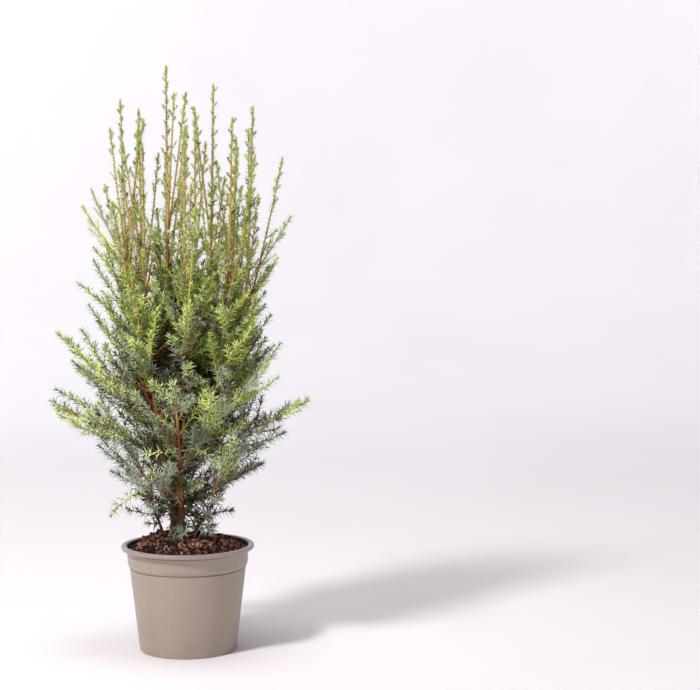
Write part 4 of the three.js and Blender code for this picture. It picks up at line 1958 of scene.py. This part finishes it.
@dataclass(frozen=True)
class Shreds:
    """Thin strips of bark that peel off a stem."""

    count: int = 240
    lean: Pair = (6.0, 32.0)
    length: Pair = (5.0, 13.0)
    width: Pair = (1.2, 2.6)
    thickness: float = 0.5
    span: Pair = (0.02, 0.85)
    upward: float = 0.65
    sunk: float = 0.97

    def build(self, name: str, path: Path, radius: float, needles: Needles) -> None:
        """Lays the strips on a stem.

        Args:
            name: The stem's node.
            path: The stem's path.
            radius: The stem's radius over most of its length.
            needles: The maker of needles, whose shape stands for one strip.
        """
        draws = Draws(911 + round(radius * 100))
        rows = []
        for _ in range(self.count):
            distance = path.length * draws.between(*self.span)
            turn, lean = draws.between(0, 2 * math.pi), math.radians(draws.between(*self.lean))
            out = path.side * math.cos(turn) + path.overs(distance)[0] * math.sin(turn)
            along = path.alongs(distance)[0] * (1 if draws.next() < self.upward else -1)
            place = path.at(distance) + out * radius * self.sunk
            aim = along * math.cos(lean) + out * math.sin(lean)
            size = (draws.between(*self.width), self.thickness, draws.between(*self.length))
            rows.append((*place, *aim, *out, *size))
        seat(needles.stand(name + "_shreds", np.array(rows), BARK, BARK), [name])


@dataclass
class Limb:
    """A stem or bough with the relief of its bark.

    Args:
        bark: Its finish.
        name: The piece's name.
        node: The node that it stands for.
        path: The path that it follows.
        start: How far along the path it begins, below zero when it is sunk.
        end: How far along the path it ends.
        radius: Its radius at its foot and its tip.
        swell: How much thicker it is at its foot.
        swell_reach: How far that reaches.
        sides: How many points are round it.
        pitch: The distance between its rings.
        relief: How deep its bark is furrowed, as a share of its radius.
    """

    bark: WoodFinish
    name: str
    node: str
    path: Path
    start: float
    end: float
    radius: Pair
    swell: float
    swell_reach: float
    sides: int
    pitch: float
    relief: float

    def build(self) -> None:
        """Makes the limb and dresses it."""
        piece = placed(self.name, ring_mesh(self.name, self._rings() * MM))
        piece.data.materials.append(self.bark.material())
        seat(piece, [self.node])

    def _rings(self) -> np.ndarray:
        """Returns the furrowed rings, closed to a blunt point at the tip.

        Returns:
            The rings, from the foot up.
        """
        distances = np.linspace(self.start, self.end, max(6, round((self.end - self.start) / self.pitch)))
        places = self.path.points(distances)
        overs = self.path.overs(np.clip(distances, 0, self.path.length))
        angles = circle_angles(self.sides)
        share = np.clip(distances / self.end, 0, 1)
        radii = self.radius[0] + (self.radius[1] - self.radius[0]) * share
        radii = radii + self.swell * np.exp(-np.maximum(distances, 0) / self.swell_reach)
        rings = []
        for place, over, radius, distance in zip(places, overs, radii, distances):
            deep = np.array([self._furrow(angle, distance) for angle in angles])
            around = self.path.side * np.sin(angles)[:, None] + over * np.cos(angles)[:, None]
            rings.append(place + around * (radius * (1 + self.relief * deep))[:, None])
        middle = rings[-1].mean(0)
        onward = self.path.alongs(self.end)[0] * 0.5 * self.radius[1]
        rings.append(middle + (rings[-1] - middle) * 0.6 + onward)
        return np.array(rings)

    def _furrow(self, angle: float, distance: float) -> float:
        """Returns the bark's relief at a place: long fissures, and scales that lift between them.

        Args:
            angle: The angle round the limb.
            distance: How far along it the place is.

        Returns:
            The relief, as a share of its greatest depth.
        """
        around = Vector((math.cos(angle) * 2.4, math.sin(angle) * 2.4, distance / 16))
        scales = Vector((math.cos(angle) * 5, math.sin(angle) * 5, distance / 5))
        fissure = 1 - 2.6 * abs(noise.noise(around))
        return 0.7 * fissure + 0.35 * noise.noise(scales) - 0.3


@dataclass(frozen=True)
class BareWood:
    """A length of stem or bough that shows, between two heights, and how wide the needles part there."""

    limb: str
    low: float
    high: float
    width: float


class Crown:
    """The stems, boughs, twigs and needles."""

    stem_sides = 32
    thin_stem_sides = 14
    sink = 6.0
    fringe_ends = ((0.25, 0.0), (1.0, 0.34), (0.4, 0.24))
    fringe_seeds = 76
    stray_seeds = 80
    bare_wood = (
        BareWood("front_stem", 232, 302, 4.2), BareWood("front_stem", 192, 206, 3.6),
        BareWood("left", 283, 350, 6.6),
    )
    bare_slant = (0.1, 0.125)

    def __init__(self) -> None:
        """Lays out every path from the plans."""
        self.stems = {name: stem_path(plan) for name, plan in STEMS.items()}
        self.boughs = {name: spire_path(self.stems[plan.stem], plan) for name, plan in SPIRES.items()}
        self.arms = {name: arm_path(self.stems[plan.stem], plan) for name, plan in ARMS.items()}
        self.limbs = {**self.stems, **self.boughs, **self.arms}
        self.masses: list[Mass] = []
        self.fringes: list[Growth] = []
        for seed, (name, plan) in enumerate(SPIRES.items()):
            self._add_spire(seed, name, plan)
        for seed, (name, path) in enumerate(self.arms.items(), len(SPIRES)):
            mass = Mass(region=Region.ARMS, path=path, seed=seed, node=name, start=0.0, facing=-90, forks=0)
            self.masses.append(mass)
        for seed, (name, (span, spacing, reach)) in enumerate(FRINGES.items(), self.fringe_seeds):
            fringe = Fringe(
                region=Region.ARMS, path=self.stems[name], seed=seed, span=span, spacing=spacing,
                angle=(78, 55), reach=reach, parting=0.72 if name == "front_stem" else 0.3,
            )
            self.fringes.append(fringe)
        for seed, plan in enumerate(STRAYS, self.stray_seeds):
            self._add_stray(seed, plan)

    def _add_spire(self, seed: int, name: str, plan: SpirePlan) -> None:
        """Adds a spire's mass, and the fringes along its bough and the foot of its stem.

        Args:
            seed: The seed of the mass.
            name: The spire's name.
            plan: The spire's plan.
        """
        path = self.boughs[name]
        region = Region.FRONT_SPIRES if plan.tip[1] < 10 else Region.BACK_SPIRES
        start = RULE.bare_spire * path.length + (RULE.clearance + 0.02)
        mass = Mass(
            region=region, path=path, seed=seed, node=f"spire_{name}",
            start=start, facing=90, forks=plan.forks,
        )
        self.masses.append(mass)
        for layer, (foot, top) in enumerate(self.fringe_ends):
            span = (foot * start, start + top * (path.length - start))
            fringe = Fringe(
                region=region, path=path, seed=seed + 40 + 20 * layer, span=span,
                spacing=(6 + layer, 9 + layer), angle=(58, 46), reach=(22, 48),
            )
            self.fringes.append(fringe)

    def _add_stray(self, seed: int, plan: StrayPlan) -> None:
        """Adds a twig on its own, which bows between its limb and its tip.

        Args:
            seed: The seed of its draws.
            plan: The twig's plan.
        """
        limb = self.limbs[plan.limb]
        start, end = limb.at(limb.distance_at_height(plan.height)), np.array(plan.tip, float)
        path = Path([start, (start + end) / 2 + UP * plan.bow, end], square_to(end - start), chords=16)
        stray = Stray(
            region=Region.ARMS, path=path, seed=seed, sparseness=plan.sparseness, tone=plan.tone,
        )
        self.fringes.append(stray)

    def grow(self) -> None:
        """Grows every mass and fringe."""
        for growth in (*self.masses, *self.fringes):
            growth.grow()

    def _in(self, region: Region) -> tuple[list[Shoot], list[str]]:
        """Returns the shoots of a region and the nodes that they stand for.

        Args:
            region: The region.

        Returns:
            The shoots and the names of the nodes.
        """
        grown = [growth for growth in (*self.masses, *self.fringes) if growth.region is region]
        nodes = [mass.node for mass in self.masses if mass.region is region]
        return [shoot for growth in grown for shoot in growth.shoots], nodes

    def build_limbs(self) -> None:
        """Makes the stems and boughs."""
        for name, path in self.stems.items():
            plan = STEMS[name]
            limb = Limb(
                bark=FRONT_BARK if name == "front_stem" else BARK,
                name=name + "_bark", node=name, path=path, start=-self.sink, end=path.length,
                radius=plan.radius, swell=plan.flare, swell_reach=9.0,
                sides=self.stem_sides if plan.radius[0] > 3 else self.thin_stem_sides, pitch=1.3, relief=0.18,
            )
            limb.build()
        for name, path in self.boughs.items():
            node = "bough_" + name
            limb = Limb(
                bark=TWIG_BARK[Wood.RUSSET], name=node + "_bark", node=node, path=path, start=0.0,
                end=RULE.bare_spire * path.length, radius=RULE.bough_radius, swell=0.9, swell_reach=4.0,
                sides=12, pitch=1.6, relief=0.12,
            )
            limb.build()

    def build_twigs(self) -> None:
        """Sweeps the twigs of each region and age of bark."""
        tree = twig_tree()
        for region in Region:
            shoots, nodes = self._in(region)
            for wood in Wood:
                chosen = [shoot for shoot in shoots if shoot.wood is wood]
                values = {"Sides": 3 if wood is Wood.GREEN else 5, "Bark": TWIG_BARK[wood].material()}
                name = f"{wood.value}_twigs_{region.value}"
                seat(realised(name, self._lines(chosen), tree, values), nodes)

    @staticmethod
    def _lines(shoots: list[Shoot]) -> Mesh:
        """Returns the shoots as lines of points with their thickness.

        Args:
            shoots: The shoots.

        Returns:
            The mesh of lines.
        """
        points, edges, thickness, first = [], [], [], 0
        for shoot in shoots:
            length = shoot.path.length - shoot.start
            count = max(3, min(40, round(length / 8))) + 1
            distances = np.linspace(shoot.start, shoot.path.length, count)
            points.append(shoot.path.points(distances))
            thickness.append(np.linspace(*shoot.radius, count))
            places = np.arange(first, first + count)
            edges.append(np.column_stack([places[:-1], places[1:]]))
            first += count
        thick = np.concatenate(thickness) * MM
        return point_mesh("lines", np.concatenate(points) * MM, np.concatenate(edges), thickness=thick)

    def build_needles(self, needles: Needles) -> None:
        """Stands the needles of each region and tone on their shoots.

        Args:
            needles: The maker of needles.
        """
        for number, region in enumerate(Region):
            shoots, nodes = self._in(region)
            spread = np.random.default_rng(RULE.seed + number)
            batches: dict[Tone, list[np.ndarray]] = {tone: [] for tone in Tone}
            for shoot in shoots:
                batches[shoot.tone].append(self._needles(shoot, spread))
            for tone, batch in batches.items():
                if not batch:
                    continue
                colour, band = NEEDLE_GREENS[tone]
                back = LeafFinish(f"{tone.value}_needle", colour)
                pale = LeafFinish(f"{tone.value}_band", band)
                rows = self._parting(np.concatenate(batch))
                piece = needles.stand(f"{tone.value}_needles_{region.value}", rows, back, pale)
                seat(piece, nodes)

    def _parting(self, rows: np.ndarray) -> np.ndarray:
        """Leaves out the needles before the bare wood, where the sprays part forwards and upwards.

        Args:
            rows: The place, aim, facing and size of each needle.

        Returns:
            The rows that stay.
        """
        middles = rows[:, :3] + rows[:, 3:6] * rows[:, 11:] / 2
        heights = middles[:, 2]
        kept = np.ones(len(rows), bool)
        for bare in self.bare_wood:
            path = self.limbs[bare.limb]
            before = path.points(path.distance_at_height(heights))[:, 1] - middles[:, 1]
            levels = heights - self.bare_slant[1] * before
            nearest = path.points(path.distance_at_height(levels))
            aside = middles[:, 0] - nearest[:, 0] - self.bare_slant[0] * before
            within = (levels > bare.low) & (levels < bare.high) & (np.abs(aside) < bare.width)
            kept &= ~(within & (before > 0))
        return rows[kept]

    @staticmethod
    def _needles(shoot: Shoot, spread: np.random.Generator) -> np.ndarray:
        """Returns one row for each needle of a shoot: its place, aim, facing and size.

        Args:
            shoot: The shoot.
            spread: The generator of their small differences.

        Returns:
            The rows, in millimetres.
        """
        path = shoot.path
        grown = path.length - shoot.leafy_from
        height = path.at((path.length + shoot.leafy_from) / 2)[2]
        pitch = HABIT.at(height, HABIT.pitches) * shoot.sparseness
        whorls = max(HABIT.fewest_whorls, round(grown / pitch))
        shares = np.linspace(0, 1, whorls) ** HABIT.crowding
        distances = shoot.leafy_from + grown * shares
        turns = math.pi / 3 * np.arange(whorls)[:, None] + 2 * math.pi / 3 * np.arange(HABIT.per_whorl)
        turns = (turns + spread.normal(0, HABIT.turn_stray, turns.shape)).ravel()
        distances = np.repeat(distances, HABIT.per_whorl)
        distances = distances + spread.normal(0, HABIT.place_stray, len(turns))
        places, alongs = path.points(distances), path.alongs(np.clip(distances, 0, path.length))
        overs = unit(np.cross(path.side, alongs))
        outs = path.side * np.cos(turns)[:, None] + overs * np.sin(turns)[:, None]
        to_tip = np.repeat(np.clip((1 - shares) * grown / HABIT.tip_reach, 0, 1), HABIT.per_whorl)
        heights = places[:, 2]
        kept = HABIT.at(heights, HABIT.tip_leans)
        leans = HABIT.at(heights, HABIT.spreads) * (kept + (1 - kept) * to_tip)
        leans = leans + spread.normal(0, HABIT.lean_stray, len(turns))
        leans = np.radians(np.clip(leans, *HABIT.lean_limits))
        aims = alongs * np.cos(leans)[:, None] + outs * np.sin(leans)[:, None]
        lengths = HABIT.at(heights, HABIT.lengths) * (HABIT.tip_length + (1 - HABIT.tip_length) * to_tip)
        lengths = lengths * spread.uniform(*HABIT.length_spread, len(turns))
        widths = HABIT.at(heights, HABIT.widths) * spread.uniform(*HABIT.width_spread, len(turns))
        sizes = np.column_stack([widths, np.full(len(turns), HABIT.thickness), lengths])
        rows = np.column_stack([places + outs * shoot.radius[1] * HABIT.sunk, aims, alongs, sizes])
        low, high = np.array([list(corner) for corner in CAD_BOX]) / MM
        spare = HABIT.overshoot * (high - low)
        tips = places + aims * lengths[:, None]
        return rows[((tips > low - spare) & (tips < high + spare)).all(axis=1)]


def main() -> None:
    """Builds the scene from the ground up and reports each piece."""
    logging.basicConfig(level=logging.INFO, format="%(message)s")
    bpy.context.scene.view_settings.view_transform = "Standard"
    Camera().build()
    Studio().build()
    NurseryPot().build()
    needles = Needles()
    Mulch().build(needles)
    crown = Crown()
    crown.build_limbs()
    Shreds().build("trunk", crown.stems["trunk"], 6.2, needles)
    front_shreds = Shreds(count=90, width=(0.7, 1.6), length=(4.0, 9.0))
    front_shreds.build("front_stem", crown.stems["front_stem"], 3.3, needles)
    crown.grow()
    crown.build_twigs()
    crown.build_needles(needles)
    needles.clear()


if __name__ == "__main__":
    main()
